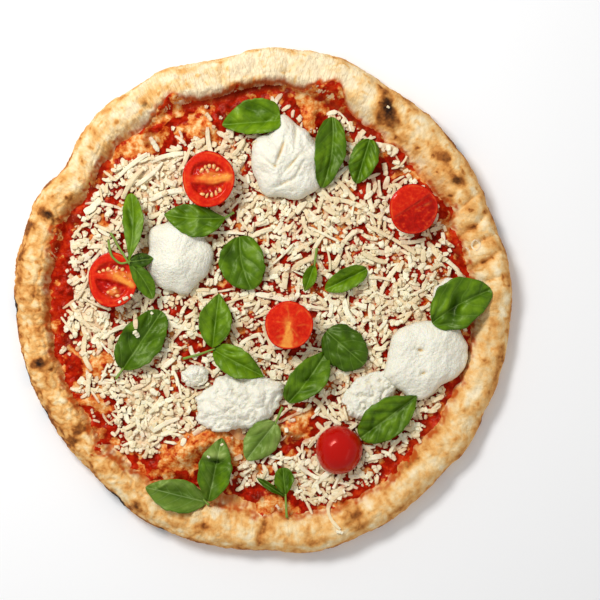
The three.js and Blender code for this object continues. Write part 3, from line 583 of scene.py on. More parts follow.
# Fine height for a bump: pits of one size over lumps of a larger one
def makeGrainGroup():
    group, given, height, place = newGroup(
        "foodGrain", {"Lump mm": 2.0, "Pit mm": 0.7, "Pits": 0.5}, "Height")
    lumpScale = calculate(group, "DIVIDE", 1 / mm, given["Lump mm"])
    pitScale = calculate(group, "DIVIDE", 1 / mm, given["Pit mm"])
    lumps = addNode(group, "ShaderNodeTexNoise", {"Vector": place, "Scale": lumpScale, "Detail": 3.0})
    pits = addNode(group, "ShaderNodeTexVoronoi", {"Vector": place, "Scale": pitScale}, feature="SMOOTH_F1")
    deep = calculate(group, "MULTIPLY_ADD", pits.outputs["Distance"], given["Pits"], lumps.outputs[0])
    group.links.new(deep, height)
    return group


# Thin lines that run from the outside in, 1 on a line; travel is the way in
def makeWrinkleGroup():
    group, given, mask, place = newGroup(
        "skinWrinkle", {"Travel": 0.0, "Width mm": 3.0, "Length mm": 10.0}, "Mask")
    flat = vectorMath(group, "MULTIPLY", {0: place, 1: (1, 1, 0)})
    around = vectorMath(group, "NORMALIZE", {0: flat})
    turns = calculate(group, "DIVIDE", crust["meanRadius"], given["Width mm"])
    scaled = vectorMath(group, "SCALE", {0: around, "Scale": turns})
    inward = calculate(group, "DIVIDE", given["Travel"], given["Length mm"])
    deep = addNode(group, "ShaderNodeCombineXYZ", {2: inward}).outputs[0]
    where = vectorMath(group, "ADD", {0: scaled, 1: deep})
    noise = addNode(group, "ShaderNodeTexNoise", {
        "Vector": where, "Scale": 1.0, "Detail": 2.0, "Distortion": 0.6}).outputs[0]
    off = calculate(group, "ABSOLUTE", calculate(group, "SUBTRACT", noise, 0.5))
    group.links.new(fadeOut(group, off, 0.0, 0.06), mask)
    return group


speckleGroup = makeSpeckleGroup()
grainGroup = makeGrainGroup()
wrinkleGroup = makeWrinkleGroup()


def speckle(tree, size, detail=3.0, contrast=1.0):
    return placeGroup(tree, speckleGroup, "Mask", Size_mm=size, Detail=detail, Contrast=contrast)


# The mottling brought to a range of its own, about a value
def mottle(tree, size, detail, contrast, span, middle):
    return calculate(tree, "MULTIPLY_ADD", speckle(tree, size, detail, contrast), span, middle - 0.5 * span)


def grain(tree, lump, pit, pits):
    return placeGroup(tree, grainGroup, "Height", Lump_mm=lump, Pit_mm=pit, Pits=pits)


def finishShader(tree, shader, colour, height, depth):
    tree.links.new(colour, shader.inputs["Base Color"])
    bump = addNode(tree, "ShaderNodeBump", {"Strength": 1.0, "Distance": depth * mm, "Height": height})
    tree.links.new(bump.outputs["Normal"], shader.inputs["Normal"])


def makeDoughMaterial():
    material, tree, shader = newMaterial("bakedDough", Roughness=0.8, Specular_IOR_Level=0.12)
    # the rim's browning, which also holds painted shade in the creases and painted light and shade round the
    # rim
    shade = calculate(tree, "ADD", attributeValue(tree, "toastAndShade"), mottle(tree, 2.6, 6.0, 1.5, 0.36, 0.0))
    baked = ramp(tree, shade, (0.0, 250, 231, 192), (0.22, 246, 214, 158), (0.45, 237, 183, 110),
                 (0.66, 212, 144, 72), (0.84, 162, 96, 40), (1.0, 108, 60, 26))
    # the dry skin is scored by hair-fine wrinkles that run across the rim, drawn darker in colour: partly
    # browning, partly painted shade in the grooves
    lines = placeGroup(
        tree, wrinkleGroup, "Mask", Travel=attributeValue(tree, "travel"), Width_mm=2.2, Length_mm=8.0)
    scores = calculate(tree, "MULTIPLY", lines, attributeValue(tree, "dry"))
    scoredAndShaded = blendColours(tree, calculate(tree, "MULTIPLY", scores, 0.18), baked, srgb(186, 116, 56))
    flecks = calculate(tree, "GREATER_THAN", speckle(tree, 1.1, 2.0, 2.0), 1.05)
    flecked = blendColours(tree, calculate(tree, "MULTIPLY", flecks, 0.38), scoredAndShaded, srgb(128, 72, 30))
    stained = blendColours(tree, attributeValue(tree, "stain"), flecked, srgb(192, 84, 22))
    burnt = blendColours(tree, attributeValue(tree, "char"), stained, srgb(40, 23, 14))
    height = calculate(tree, "MULTIPLY_ADD", scores, -0.55, grain(tree, 1.3, 0.7, 0.5))
    finishShader(tree, shader, burnt, height, 0.36)
    return material


def makeSauceMaterial():
    material, tree, shader = newMaterial(
        "tomatoSauce", Roughness=0.28, Specular_IOR_Level=0.12, Specular_Tint=(1.0, 0.5, 0.36, 1.0))
    pulp = calculate(tree, "ADD", speckle(tree, 3.2, 3.0, 1.2), attributeValue(tree, "pulp"))
    red = ramp(tree, pulp, (0.1, 84, 10, 0), (0.4, 134, 14, 0), (0.65, 178, 28, 4), (0.95, 210, 64, 20))
    thin = calculate(tree, "ADD", attributeValue(tree, "thin"), mottle(tree, 5.5, 3.0, 1.9, 1.1, 0.0))
    spread = calculate(tree, "MULTIPLY", thin, 0.28)
    spread = calculate(tree, "MULTIPLY_ADD", speckle(tree, 3.6, 2.5, 2.5), 0.7, spread)
    dough = ramp(tree, spread, (0.2, 150, 32, 4), (0.42, 202, 84, 24), (0.68, 230, 148, 72),
                 (0.95, 246, 206, 144))
    seen = addNode(tree, "ShaderNodeMapRange", {"Value": thin, "From Min": 0.45, "From Max": 0.75},
                   interpolation_type="SMOOTHSTEP")
    mixed = blendColours(tree, seen.outputs[0], red, dough)
    # dried patches of sauce, and a painted shadow under the steep lip
    driedAndShaded = blendColours(tree, attributeValue(tree, "brown"), mixed, srgb(92, 26, 6))
    finishShader(tree, shader, driedAndShaded, grain(tree, 2.0, 1.3, 0.6), 0.32)
    return material


def makeCheeseMaterial(name, palest, deepest, roughness):
    material, tree, shader = newMaterial(
        name, Roughness=roughness, Specular_IOR_Level=0.25,
        Subsurface_Weight=0.12, Subsurface_Scale=0.6 * mm, Subsurface_Radius=(1.0, 0.7, 0.4))
    tone = calculate(tree, "ADD", attributeValue(tree, "tone"), mottle(tree, 2.5, 3.0, 1.0, 0.3, 0.0))
    pale = ramp(tree, tone, (0.0, *deepest), (1.0, *palest))
    soaked = blendColours(tree, attributeValue(tree, "soaked"), pale, srgb(196, 96, 40))
    finishShader(tree, shader, soaked, grain(tree, 1.2, 0.6, 0.5), 0.3)
    return material


def makeMozzarellaMaterial():
    material, tree, shader = newMaterial(
        "softMozzarella", Roughness=0.5, Specular_IOR_Level=0.3,
        Subsurface_Weight=0.35, Subsurface_Scale=1.2 * mm, Subsurface_Radius=(1.0, 0.8, 0.55))
    tone = calculate(tree, "ADD", attributeValue(tree, "tone"), mottle(tree, 5.0, 3.0, 1.0, 0.3, 0.0))
    colour = ramp(tree, tone, (0.0, 214, 182, 130), (0.3, 232, 224, 198), (1.0, 241, 239, 225))
    finishShader(tree, shader, colour, grain(tree, 1.5, 0.7, 0.5), 0.6)
    return material


def makeTomatoMaterial(name, roughness, soft, gloss, coat):
    material, tree, shader = newMaterial(
        name, Roughness=roughness, Specular_IOR_Level=gloss, Specular_Tint=(1.0, 0.33, 0.27, 1.0),
        Coat_Weight=coat, Coat_Roughness=0.14,
        Subsurface_Weight=soft, Subsurface_Scale=1.2 * mm, Subsurface_Radius=(1.0, 0.25, 0.12))
    fine = speckle(tree, 2.0, 4.0, 1.2)
    flesh = ramp(tree, fine, (0.25, 198, 18, 4), (0.55, 218, 38, 10), (0.85, 230, 76, 30))
    # painted highlights: small pale glints spotted over the flesh
    glintSpecks = calculate(tree, "GREATER_THAN", speckle(tree, 0.9, 2.0, 2.0), 1.0)
    glinted = blendColours(tree, calculate(tree, "MULTIPLY", glintSpecks, 0.35), flesh, srgb(246, 168, 130))
    skin = blendColours(tree, attributeValue(tree, "skin"), glinted, srgb(182, 4, 0))
    # the core mask holds the pale core and a painted highlight along the cut edge
    coreAndGlint = calculate(tree, "MULTIPLY", attributeValue(tree, "coreAndGlint"), mottle(tree, 1.6, 3.0, 2.2, 0.7, 0.9))
    pale = blendColours(tree, calculate(tree, "MINIMUM", coreAndGlint, 1.0), skin, srgb(240, 158, 66))
    gel = ramp(tree, speckle(tree, 3.0, 2.0, 1.6), (0.3, 156, 6, 0), (0.62, 190, 18, 4), (0.85, 216, 74, 24))
    wet = blendColours(tree, attributeValue(tree, "gel"), pale, gel)
    finishShader(tree, shader, wet, grain(tree, 1.6, 0.9, 0.3), 0.05)
    return material


def makeSeedMaterial():
    material, tree, shader = newMaterial("tomatoSeed", Roughness=0.25, Coat_Weight=0.4, Coat_Roughness=0.1)
    colour = ramp(tree, speckle(tree, 1.2), (0.3, 224, 138, 60), (0.7, 246, 204, 134))
    tree.links.new(colour, shader.inputs["Base Color"])
    return material


def makeLeafMaterial():
    material, tree, shader = newMaterial(
        "basilLeaf", Roughness=0.4, Specular_IOR_Level=0.36, Specular_Tint=(0.9, 1.0, 0.55, 1.0))
    # the leaf's brightness mask holds its tone with painted light and shade
    fine = calculate(tree, "ADD", mottle(tree, 3.0, 4.0, 1.2, 0.35, 0.535), attributeValue(tree, "bright"))
    green = ramp(tree, fine, (0.1, 30, 58, 0), (0.5, 68, 102, 0), (0.8, 110, 146, 10), (1.0, 150, 180, 44))
    # lateral veins are the whole numbers of "rib", and the midrib is where "aside" is 0
    near = calculate(tree, "PINGPONG", attributeValue(tree, "rib"), 0.5)
    lateral = calculate(tree, "MULTIPLY", fadeOut(tree, near, 0.0, 0.07), 0.2)
    middle = calculate(tree, "MULTIPLY", fadeOut(tree, attributeValue(tree, "aside"), 0.1, 0.42), 0.42)
    vein = calculate(tree, "MAXIMUM", lateral, middle)
    veined = blendColours(tree, calculate(tree, "MULTIPLY", vein, 0.75), green, srgb(150, 184, 78))
    pale = ramp(tree, fine, (0.1, 70, 100, 24), (0.5, 104, 132, 46), (0.9, 154, 174, 94))
    under = blendColours(tree, vein, pale, srgb(164, 186, 118))
    faced = blendColours(tree, attributeValue(tree, "under"), veined, under)
    stalk = blendColours(tree, attributeValue(tree, "stalk"), faced, srgb(120, 148, 60))
    crinkle = calculate(tree, "MULTIPLY_ADD", vein, -1.2, speckle(tree, 1.4, 3.0, 0.7))
    finishShader(tree, shader, stalk, crinkle, 0.2)
    return material


doughMaterial = makeDoughMaterial()
sauceMaterial = makeSauceMaterial()
shredMaterial = makeCheeseMaterial("gratedCheese", (251, 244, 214), (228, 200, 146), 0.55)
meltedMaterial = makeCheeseMaterial("meltedCheese", (248, 236, 202), (226, 190, 134), 0.5)
mozzarellaMaterial = makeMozzarellaMaterial()
tomatoMaterial = makeTomatoMaterial("tomatoFlesh", roughness=0.34, soft=0.05, gloss=0.1, coat=0.26)
tomatoSkinMaterial = makeTomatoMaterial("tomatoSkin", roughness=0.22, soft=0.0, gloss=0.75, coat=0.0)
seedMaterial = makeSeedMaterial()
leafMaterial = makeLeafMaterial()
print("materials made")


# How brown the rim is, with painted shade along its creases and painted light and shade in stretches round
# it
def toastAndShadeAt(x, y, degrees, travel, height):
    reach = np.clip(travel / travelAt(crust["rimWidth"]), 0, 1)
    # paler and browner stretches round the rim: partly browning, partly painted light and shade
    toastAndShade = 0.22 + 0.3 * smoothStep(reach, 0.42, 0.0) + sumOfBells(degrees, crust["tanAndShadeStretches"])
    toastAndShade += rimHillSum(degrees, travel, (0.28, 15, 9, 31), (0.17, 5.5, 4.5, 32))
    front = bell(angleGap(degrees, 285) / 60)
    toastAndShade += (0.3 - 0.22 * front) * smoothStep(rimHills(degrees, travel, 4, 3.4, 40), 0.45, 0.8)
    toastAndShade += front * rimHillSum(degrees, travel, (0.16, 9, 8, 48), (0.1, 4, 4, 49))
    toastAndShade += rimHillSum(degrees, travel, (0.05, 2.2, 8, 33), (0.16, 8, 7, 2))
    # paler on the larger blisters and darker between them
    blistered = pillows(rimHills(degrees, travel, *blisters["large"]))
    toastAndShade -= 0.1 * blistered * (0.4 + 1.2 * bell(angleGap(degrees, 215) / 60))
    # painted shade: darker along the creases
    toastAndShade += 0.016 * creaseDepth(degrees, outerRadius(degrees) - np.hypot(x, y)) ** 2
    ragged = 1 + 0.5 * rimHills(degrees, travel, 4, 3.4, 42)
    for mark in crust["toastedSpots"]:
        wide = {**mark, "length": 1.35 * mark["length"], "width": 1.35 * mark["width"]}
        toastAndShade = toastAndShade + (0.3 + 0.4 * mark["amount"]) * ragged * ovalSpot(x, y, wide)
    underneath = smoothStep(height, 5, 0)
    underside = 0.42 + hillSum(x, y, (0.2, 14, 34), (0.2, 5, 35))
    return mix(np.clip(toastAndShade, 0, 0.92), underside, underneath)


def charAt(x, y, degrees, travel):
    ragged = rimHillSum(degrees, travel, (0.35, 1.8, 1.6, 36), (0.2, 0.9, 0.9, 37))
    edge = sumOfBells(degrees, crust["burntEdge"])
    burnt = smoothStep(edge * 1.8 - travel + 2.2 * ragged, -1.5, 1.5) * smoothStep(edge, 0.3, 1.0)
    char = spotSum(x, y, crust["toastedSpots"]) * (1 + ragged)
    return np.clip(smoothStep(char, 0.12, 0.85) + burnt, 0, 1)


# How orange the sauce has stained the dough near its edge, with a browned line where it ends
def stainAt(degrees, travel, inset):
    beyond = inset - sauceInset(degrees)
    cover = smoothStep(beyond, -5, 0.5)
    blotch = rimHillSum(degrees, travel, (0.55, 6, 5, 38), (0.4, 2.2, 2, 39))
    stain = 0.85 * cover * smoothStep(blotch + 0.9 * cover, 0.45, 1.15)
    brim = bell((beyond + 1.2) / 1.3) * smoothStep(rimHills(degrees, travel, 5, 3, 30), -0.4, 0.5)
    atLip = smoothStep(np.abs(angleGap(degrees, crust["lipHeading"])), 40, 20)
    lip = bell((beyond - 0.9) / 1.5) * atLip
    return np.clip(stain * (1 - 0.6 * atLip) + 0.75 * brim * (1 - 0.7 * atLip) + 0.95 * lip, 0, 0.95)


def makeCrust():
    crownInset, edge, fine = crust["crownInset"], crust["edgeHeight"], crust["ringPoints"]
    counts, rows = [], []

    def addRing(around, radius, height, outward, travel):
        blank = np.zeros(len(around))
        rows.append([around, radius + blank, height + blank, outward + blank, travel + blank])
        counts.append(len(around))

    # the quarter round under the outermost line, upwards, with fewer points further down
    for parts, turn in [(4, 90), (2, 70), (2, 50), (1, 34), (1, 17)]:
        around, slope = ringDegrees(fine // parts), math.radians(turn)
        addRing(around, outerRadius(around) - crust["edgeRound"] * (1 - math.cos(slope)),
                edge * (1 - math.sin(slope)), math.cos(slope), -5 * slope)
    around = ringDegrees(fine)
    for turn in np.radians(np.linspace(0, 90, 25)):
        addRing(around, outerRadius(around) - crownInset * (1 - math.cos(turn)),
                edge + (crownHeight(around) - edge) * math.sin(turn), math.cos(turn),
                crust["crownTravel"] * turn / (math.pi / 2))
    upTo = sum(counts)
    for share in np.linspace(0, 1, 27)[1:]:
        inset = crownInset + share * (rimWidth(around) - crownInset)
        addRing(around, outerRadius(around) - inset, 0, 0, travelAt(inset))
    for parts, share in [(2, 0.97), (2, 0.93), (4, 0.88), (4, 0.82), (8, 0.7), (8, 0.45)]:
        around = ringDegrees(fine // parts)
        radius = share * (outerRadius(around) - rimWidth(around))
        addRing(around, radius, 0, 0, travelAt(outerRadius(around) - radius))

    degrees, radius, height, outward, travel = np.concatenate(rows, axis=1)
    x, y = polar(degrees, radius)
    relief = rimRelief(degrees, travel)
    inset = outerRadius(degrees) - radius
    faded = relief * smoothStep(height, 0, 4)
    faded[upTo:] = relief[upTo:]
    shrunk = radius - 0.6 + np.clip(faded, -0.8, 0.5) * outward
    above = travel > 0
    tall = height + faded * np.sqrt(1 - outward ** 2)
    tall += (bubbleLift(x, y) - creaseDepth(degrees, inset)) * above
    tall[upTo:] = doughTop(x[upTo:], y[upTo:])
    tall[:counts[0]] = 0
    x, y = polar(degrees, shrunk)

    # rings run from the underside out and over, so the underside's rings come first
    starts = ringStarts(counts)
    faces = [list(range(counts[0]))[::-1]]
    for k in range(len(counts) - 1):
        if counts[k + 1] > counts[k]:
            faces += joinRings(starts[k + 1], counts[k + 1], starts[k], counts[k], faceUp=False)
        else:
            faces += joinRings(starts[k], counts[k], starts[k + 1], counts[k + 1])
    faces.append(list(range(starts[-1], starts[-1] + counts[-1])))
    masks = {
        "travel": travel,
        "dry": dryness(degrees),
        "toastAndShade": toastAndShadeAt(x, y, degrees, travel, tall),
        "char": charAt(x, y, degrees, travel),
        "stain": stainAt(degrees, travel, inset),
    }
    makePiece("crustBaked", np.stack([x, y, tall], 1), faces, masks, doughMaterial, "dough", ["crust"])


# A layer from its ragged edge inward; each span has its points round, its rings and the share of
# the radius that it reaches
def makeLayer(name, edgeAt, spans, heightAt, ground, masksAt, material, slot, nodes):
    counts, shares, reached = [], [], 1.0
    for count, steps, nextShare in spans:
        counts += [count] * steps
        shares += np.linspace(reached, nextShare, steps, endpoint=False).tolist()
        reached = nextShare
    degrees = np.concatenate([ringDegrees(count) for count in counts])
    x, y = polar(degrees, np.repeat(shares, counts) * edgeAt(degrees))
    rim = counts[0]
    top = np.stack([x, y, heightAt(x, y)], 1)
    below = np.stack([x[:rim], y[:rim], np.full(rim, ground)], 1)
    step = np.arange(rim)
    after = (step + 1) % rim
    first = len(top)
    faces = joinDisc(ringStarts(counts), counts)
    faces += np.stack([first + step, first + after, after, step], 1).tolist()
    faces.append((first + step)[::-1].tolist())
    masks = {mask: np.concatenate([values, values[:rim]]) for mask, values in masksAt(x, y).items()}
    makePiece(name, np.concatenate([top, below]), faces, masks, material, slot, nodes)


def sauceMasks(x, y):
    degrees, inset = rimPlace(x, y)
    width, inner = rimWidth(degrees), smoothStep(inset, 60, 40)
    thin = np.clip(bubbleLift(x, y) / 3.2, 0, 0.8) + 0.02
    thin += 0.75 * smoothStep(hillSum(x, y, (1.0, 10, 41), (0.7, 5, 42)), -0.15, 0.6)
    thin += 0.3 * smoothStep(inset, width + 3, width - 5) * smoothStep(hills(x, y, 5, 43), -0.2, 0.6)
    thin -= 0.5 * smoothStep(hills(x, y, 9, 47), 0.1, 0.5) * inner
    thin += sumOfBells(degrees, sauce["smeared"]) * inner + 0.3 * spotSum(x, y, sauce["folds"])
    thin = np.minimum(thin, 1.25) - 1.15 * spotSum(x, y, sauce["pools"])
    pulp = 0.16 * hills(x, y, 6, 44) + 0.2 * smoothStep(inset, width + 9, width - 2)
    brown = 0.6 * smoothStep(hillSum(x, y, (1.0, 12, 45), (0.5, 5, 46)), 0.3, 1.0)
    # painted shadow: darker sauce just under the steep lip at the back
    atLip = smoothStep(np.abs(angleGap(degrees, crust["lipHeading"])), 36, 22)
    brown = np.clip(brown + 0.7 * bell((inset - width - 0.6) / 2.2) * atLip, 0, 0.85)
    return {"thin": thin, "pulp": pulp, "brown": brown}


def meltAt(x, y):
    field = cheeseDensity(x, y) - 0.82 + hillSum(x, y, (0.3, 4, 51), (0.22, 2.2, 52))
    return smoothStep(field, 0, 0.3) * smoothStep(insideCheese(x, y), 0, 3)


def meltedTop(x, y):
    return sauceTop(x, y) - 0.5 + meltAt(x, y) * (1.25 + hillSum(x, y, (0.3, 3.4, 53), (0.28, 1.9, 54)))


def meltedMasks(x, y):
    soaked = np.clip(0.75 - 0.7 * meltAt(x, y) + 0.25 * hills(x, y, 3, 57), 0, 0.8)
    return {"tone": 0.6 + hillSum(x, y, (0.25, 7, 55), (0.2, 2.5, 56)), "soaked": soaked}


makeCrust()
makeLayer("tomatoSauceLayer", lambda d: outerRadius(d) - sauceInset(d) + 3,
          [(800, 44, 0.6), (400, 40, 0.24), (200, 20, 0.03)],
          sauceTop, 2.5, sauceMasks, sauceMaterial, "tomato_sauce", ["tomato_sauce"])
makeLayer("meltedCheese", lambda d: cheeseEdge(d) + 1,
          [(600, 40, 0.5), (300, 30, 0.15), (150, 8, 0.02)],
          meltedTop, 4.0, meltedMasks, meltedMaterial, "grated_cheese", ["grated_cheese"])


def treeOf(pieces):
    points, faces = [], []
    for piece in pieces:
        start = len(points)
        points += [vertex.co.copy() for vertex in piece.data.vertices]
        faces += [[start + index for index in polygon.vertices] for polygon in piece.data.polygons]
    return BVHTree.FromPolygons(points, faces)


# The pieces made so far, given by their names or by the start of their names
def treeOfMade(*kinds):
    return treeOf([piece for piece in bpy.context.scene.objects
                   if piece.data and piece.name not in frame["nodes"]
                   and (piece.name in kinds or piece.name.split("_")[0] in kinds)])


# The level at which a ray meets the tree, straight up or down, or nothing
def cast(tree, x, y, start, way):
    place = Vector(((x + shift[0]) * mm, (y + shift[1]) * mm, start * mm))
    hit = tree.ray_cast(place, Vector((0, 0, way)))[0]
    return None if hit is None else hit.z / mm


def levelsUnder(tree, x, y, missing=0.0):
    return np.array([cast(tree, *place, skyLevel, -1) or missing for place in zip(x, y)])


# Weighed with the neighbours on a line, its ends held
def smoothed(values, weights=(0.25, 0.5, 0.25)):
    return np.convolve(np.pad(values, len(weights) // 2, mode="edge"), weights, "valid")


# Directions to the side and upward, all along lines of points
def alongLines(lines):
    ahead = np.gradient(lines, axis=-2)
    ahead /= np.linalg.norm(ahead, axis=-1, keepdims=True)
    side = np.cross([0, 0, 1], ahead)
    side /= np.linalg.norm(side, axis=-1, keepdims=True)
    return side, np.cross(ahead, side)


# The sides of a tube of rings, and its two caps
def tubeFaces(stations, sides):
    ring = np.arange(sides)
    near, after = sides * np.arange(stations - 1)[:, None], (ring + 1) % sides
    quads = np.stack([near + ring, near + after, near + sides + after, near + sides + ring], 2)
    return quads.reshape(-1, 4), np.stack([ring[::-1], (stations - 1) * sides + ring])


shreds = {
    "seed": 7,
    "cell": 0.5,  # of the height grid on which they pile up
    "reach": 134,
    "gridReach": 150,
    "highest": 2.6,  # above the sauce
    "longCount": 150,
    "longLength": (11, 24),
    "shortCount": 1700,
    "shortLength": (2.6, 9.5),
    "width": (1.3, 3.3),
    "thick": (0.9, 1.9),
    "crumbTries": 7300,
    "crumbSize": (1.1, 3.8),
    # long ones that catch the eye: start, end and bow
    "placed": [
        ((-89, 73), (-69, 89), 1), ((-67.5, 99), (-62.5, 90.5), 0), ((-68, 61), (-48, 67), 1.5),
        ((-18.5, 88), (-11, 98), -1), ((-36.5, 28), (-18.5, 52), -1.5), ((62, 46), (92, 29), 1),
        ((37, 62), (61, 56.5), 1.5), ((18.5, 101.5), (35, 100), -2), ((64, 71.5), (67, 54), -1.5),
        ((73, 83.5), (74.5, 76), 0), ((103, 30), (119, 17), 1), ((24, 71), (41, 78), 1),
        ((-107, -53), (-92, -55), 1), ((31, 32), (42, 45), 1), ((10, 108), (27, 113), -2),
        ((46, 31), (57, 43), 1.5), ((-57, -12), (-37, -15), -2), ((70, 0), (82, 22), 2),
        ((83, 36), (98, 38), -1), ((88, 30), (89, 20), 0), ((60, 30), (75, 24), -1.5),
        ((-56, 82), (-42, 90), 1), ((-76, 70), (-60, 84), -1), ((-84, 62), (-72, 80), 1.5),
        ((-62, 55), (-44, 50), 1), ((-98, 10), (-84, -6), 1), ((-112, 2), (-104, 18), -1),
        ((-96, -22), (-80, -14), 1.5), ((-66, -78), (-50, -70), 1), ((30, -112), (44, -100), 1),
        ((22, -98), (34, -106), -1), ((48, -104), (60, -96), 1), ((-8, 38), (6, 44), 1),
    ],
    # those that lie on the rim or on a topping: start, end, bow, width
    "perched": [
        ((127.4, 37.4), (128.4, 30.6), 2.6, 1.2), ((127.4, 37.4), (128.4, 30.6), -2.4, 1.2),
        ((122, 33), (124.5, 27), 1, 1.4), ((48.3, -114), (46.5, -136), -8, 2.4),
        ((44, -137.4), (48, -138.2), 0.4, 1.8), ((-77.7, -4.8), (-75.6, -16), 0.6, 2.4),
        ((-76.8, -17.5), (-74.4, -21), 0.2, 2.6), ((-67.2, -6.4), (-66, -7.4), 0.2, 1.4),
        ((74.4, 117), (76, 116), 0.1, 1.4), ((-83, 1.4), (-79.8, 2.6), 0.3, 1.8),
        ((-78.6, 4.4), (-76.4, 2.2), 0.2, 1.6), ((-85.6, -0.6), (-84.2, 0.8), 0.1, 1.3),
        ((-25, -86), (-23.4, -85), 0.1, 1.3), ((-33, -92), (-31.6, -93.2), 0.1, 1.2),
        ((8, -122), (10, -124.6), 0.2, 1.6), ((-6.4, 94.4), (-3.4, 96.6), 0.3, 1.6),
        ((-35, 117.5), (-33, 117), 0.2, 2.4), ((-55, 104.5), (-53, 104), 0.2, 2.6),
        ((-41.5, 98.6), (-38.5, 97.2), 0.3, 2.8), ((-52.8, 99.8), (-46.2, 94), 0.8, 2.0),
        ((-50, 103), (-48.5, 98), 0.3, 1.6), ((-34.2, 113.4), (-31, 108.8), 0.3, 2.2),
        ((-30.5, 105.2), (-28.6, 104.6), 0.2, 2.0), ((-22, 103), (-19.6, 102.2), 0.2, 2.2),
        ((-26, 111), (-24.2, 110), 0.2, 1.9),
    ],
}
longStations, shortStations = 9, 5  # points along a strip
topGap = 0.15  # kept free under the toppings


# The height of the cheese so far, on a square grid
class Pile:
    def __init__(self):
        reach, coarse = shreds["gridReach"], 2
        line = np.linspace(-reach, reach, int(2 * reach / shreds["cell"]) + 1)
        x, y = np.meshgrid(line, line, indexing="ij")
        self.ground = np.maximum(sauceTop(x, y), doughTop(x, y))
        self.height = np.maximum(self.ground, meltedTop(x, y))
        self.density = cheeseDensity(x, y) - 2.0 * (insideCheese(x, y) < 1)
        self.ceiling = np.full(x.shape, 99.0)
        self.toppings = treeOfMade("mozzarella", "basil", "tomato")
        for column in range(0, len(line), coarse):
            for row in range(0, len(line), coarse):
                above = cast(self.toppings, line[column], line[row], groundLevel, 1)
                if above is not None:
                    self.ceiling[column:column + coarse, row:row + coarse] = above

    def cells(self, *plan):
        last = len(self.ground) - 1
        steps = [np.rint((places + shreds["gridReach"]) / shreds["cell"]).astype(int) for places in plan]
        return tuple(np.clip(step, 0, last) for step in steps)


# The middle, turn and length of a strip
def between(start, end):
    turn = math.atan2(end[1] - start[1], end[0] - start[0])
    return (start[0] + end[0]) / 2, (start[1] + end[1]) / 2, turn, math.dist(start, end)


def bowedLine(x, y, turn, length, bow, stations):
    share = np.linspace(-1, 1, stations)
    along, across = 0.5 * length * share, bow * (1 - share ** 2)
    return (x + along * math.cos(turn) - across * math.sin(turn),
            y + along * math.sin(turn) + across * math.cos(turn))


# Lays one strip down and returns its line of middle points, or nothing where there is no room
def layStrip(pile, x, y, turn, length, width, thick, bow, stations, forced=False):
    px, py = bowedLine(x, y, turn, length, bow, stations)
    sideX, sideY = -math.sin(turn) * 0.35 * width, math.cos(turn) * 0.35 * width
    cells = pile.cells(np.stack([px - sideX, px, px + sideX]), np.stack([py - sideY, py, py + sideY]))
    base, ground = pile.height[cells].max(0), pile.ground[cells].mean(0)
    start, end = base[:stations // 2].max(), base[stations // 2:].max()
    line = mix(start, end, (np.linspace(-1, 1, stations) + 1) / 2)
    draped = np.maximum(mix(line, base, 0.55), base - 0.3)
    z = smoothed(draped) + 0.5 * thick - 0.25
    top = z + 0.5 * thick
    if (top > pile.ceiling[cells].min(0) - topGap).any():
        return None
    high = max(start, end) - ground.mean() > shreds["highest"]
    if not forced and (high or (top - ground).max() > shreds["highest"] + 1.4):
        return None
    numbers = np.arange(stations)
    fine = np.linspace(0, stations - 1, max(2, int(length / shreds["cell"])))
    fx, fy, level = (np.interp(fine, numbers, values) for values in (px, py, top))
    for offset in (-1.0, -0.5, 0, 0.5, 1.0):
        cells = pile.cells(fx - math.sin(turn) * 0.5 * width * offset,
                           fy + math.cos(turn) * 0.5 * width * offset)
        np.maximum.at(pile.height, cells, level - 0.35 * thick * offset ** 2)
    return np.stack([px, py, z], 1)


# Lays one strip over whatever is there, the toppings too
def perchStrip(pile, start, end, bow, thick):
    px, py = bowedLine(*between(start, end), bow, longStations)
    level = np.maximum(pile.height[pile.cells(px, py)], levelsUnder(pile.toppings, px, py))
    return np.stack([px, py, smoothed(level) + 0.4 * thick], 1)


sectionOutline = np.array([
    (1, 0.5), (0.7, 1), (-0.7, 1), (-1, 0.5), (-1, -0.5), (-0.7, -1), (0.7, -1), (1, -0.5)])


# Solid strips along lines of points, all with the same number of stations
def stripBodies(lines, widths, thicks, twists, random):
    lines, sides = np.asarray(lines), len(sectionOutline)
    count, stations = lines.shape[:2]
    side, upward = alongLines(lines)
    taper = np.ones((count, stations, 1))
    taper[:, [0, -1], 0] = random.uniform(0.4, 1.0, (count, 2))
    ragged = taper * (1 + 0.09 * random.normal(0, 1, (count, stations, 1)))
    ragged = ragged * (1 + 0.07 * random.normal(0, 1, (count, stations, sides)))
    u = 0.5 * np.asarray(widths)[:, None, None] * sectionOutline[:, 0] * ragged
    v = 0.5 * np.asarray(thicks)[:, None, None] * sectionOutline[:, 1] * ragged
    a, b = rotated(u, v, twists[:, None, None] * np.linspace(-1, 1, stations)[None, :, None])
    points = lines[:, :, None] + a[..., None] * side[:, :, None] + b[..., None] * upward[:, :, None]
    quads, caps = tubeFaces(stations, sides)
    starts = stations * sides * np.arange(count)[:, None, None]
    faces = (starts + quads).reshape(-1, 4).tolist() + (starts + caps).reshape(-1, sides).tolist()
    return points.reshape(-1, 3), faces, stations * sides


# A cube split once on each side and rounded off: 26 points, 24 faces
def crumbTemplate():
    grid = [point for point in product((-1, 0, 1), repeat=3) if any(point)]
    faces = []
    for axis, end, a, b in product(range(3), (-1, 1), (-1, 0), (-1, 0)):
        corners = []
        for da, db in ((0, 0), (1, 0), (1, 1), (0, 1)):
            point = [a + da, b + db]
            point.insert(axis, end)
            corners.append(grid.index(tuple(point)))
        flipped = (end == 1) == (axis == 1)
        faces.append(corners[::-1] if flipped else corners)
    points = np.array(grid, float)
    points /= (np.abs(points) ** 4.5).sum(1, keepdims=True) ** (1 / 4.5)
    return points, np.array(faces)


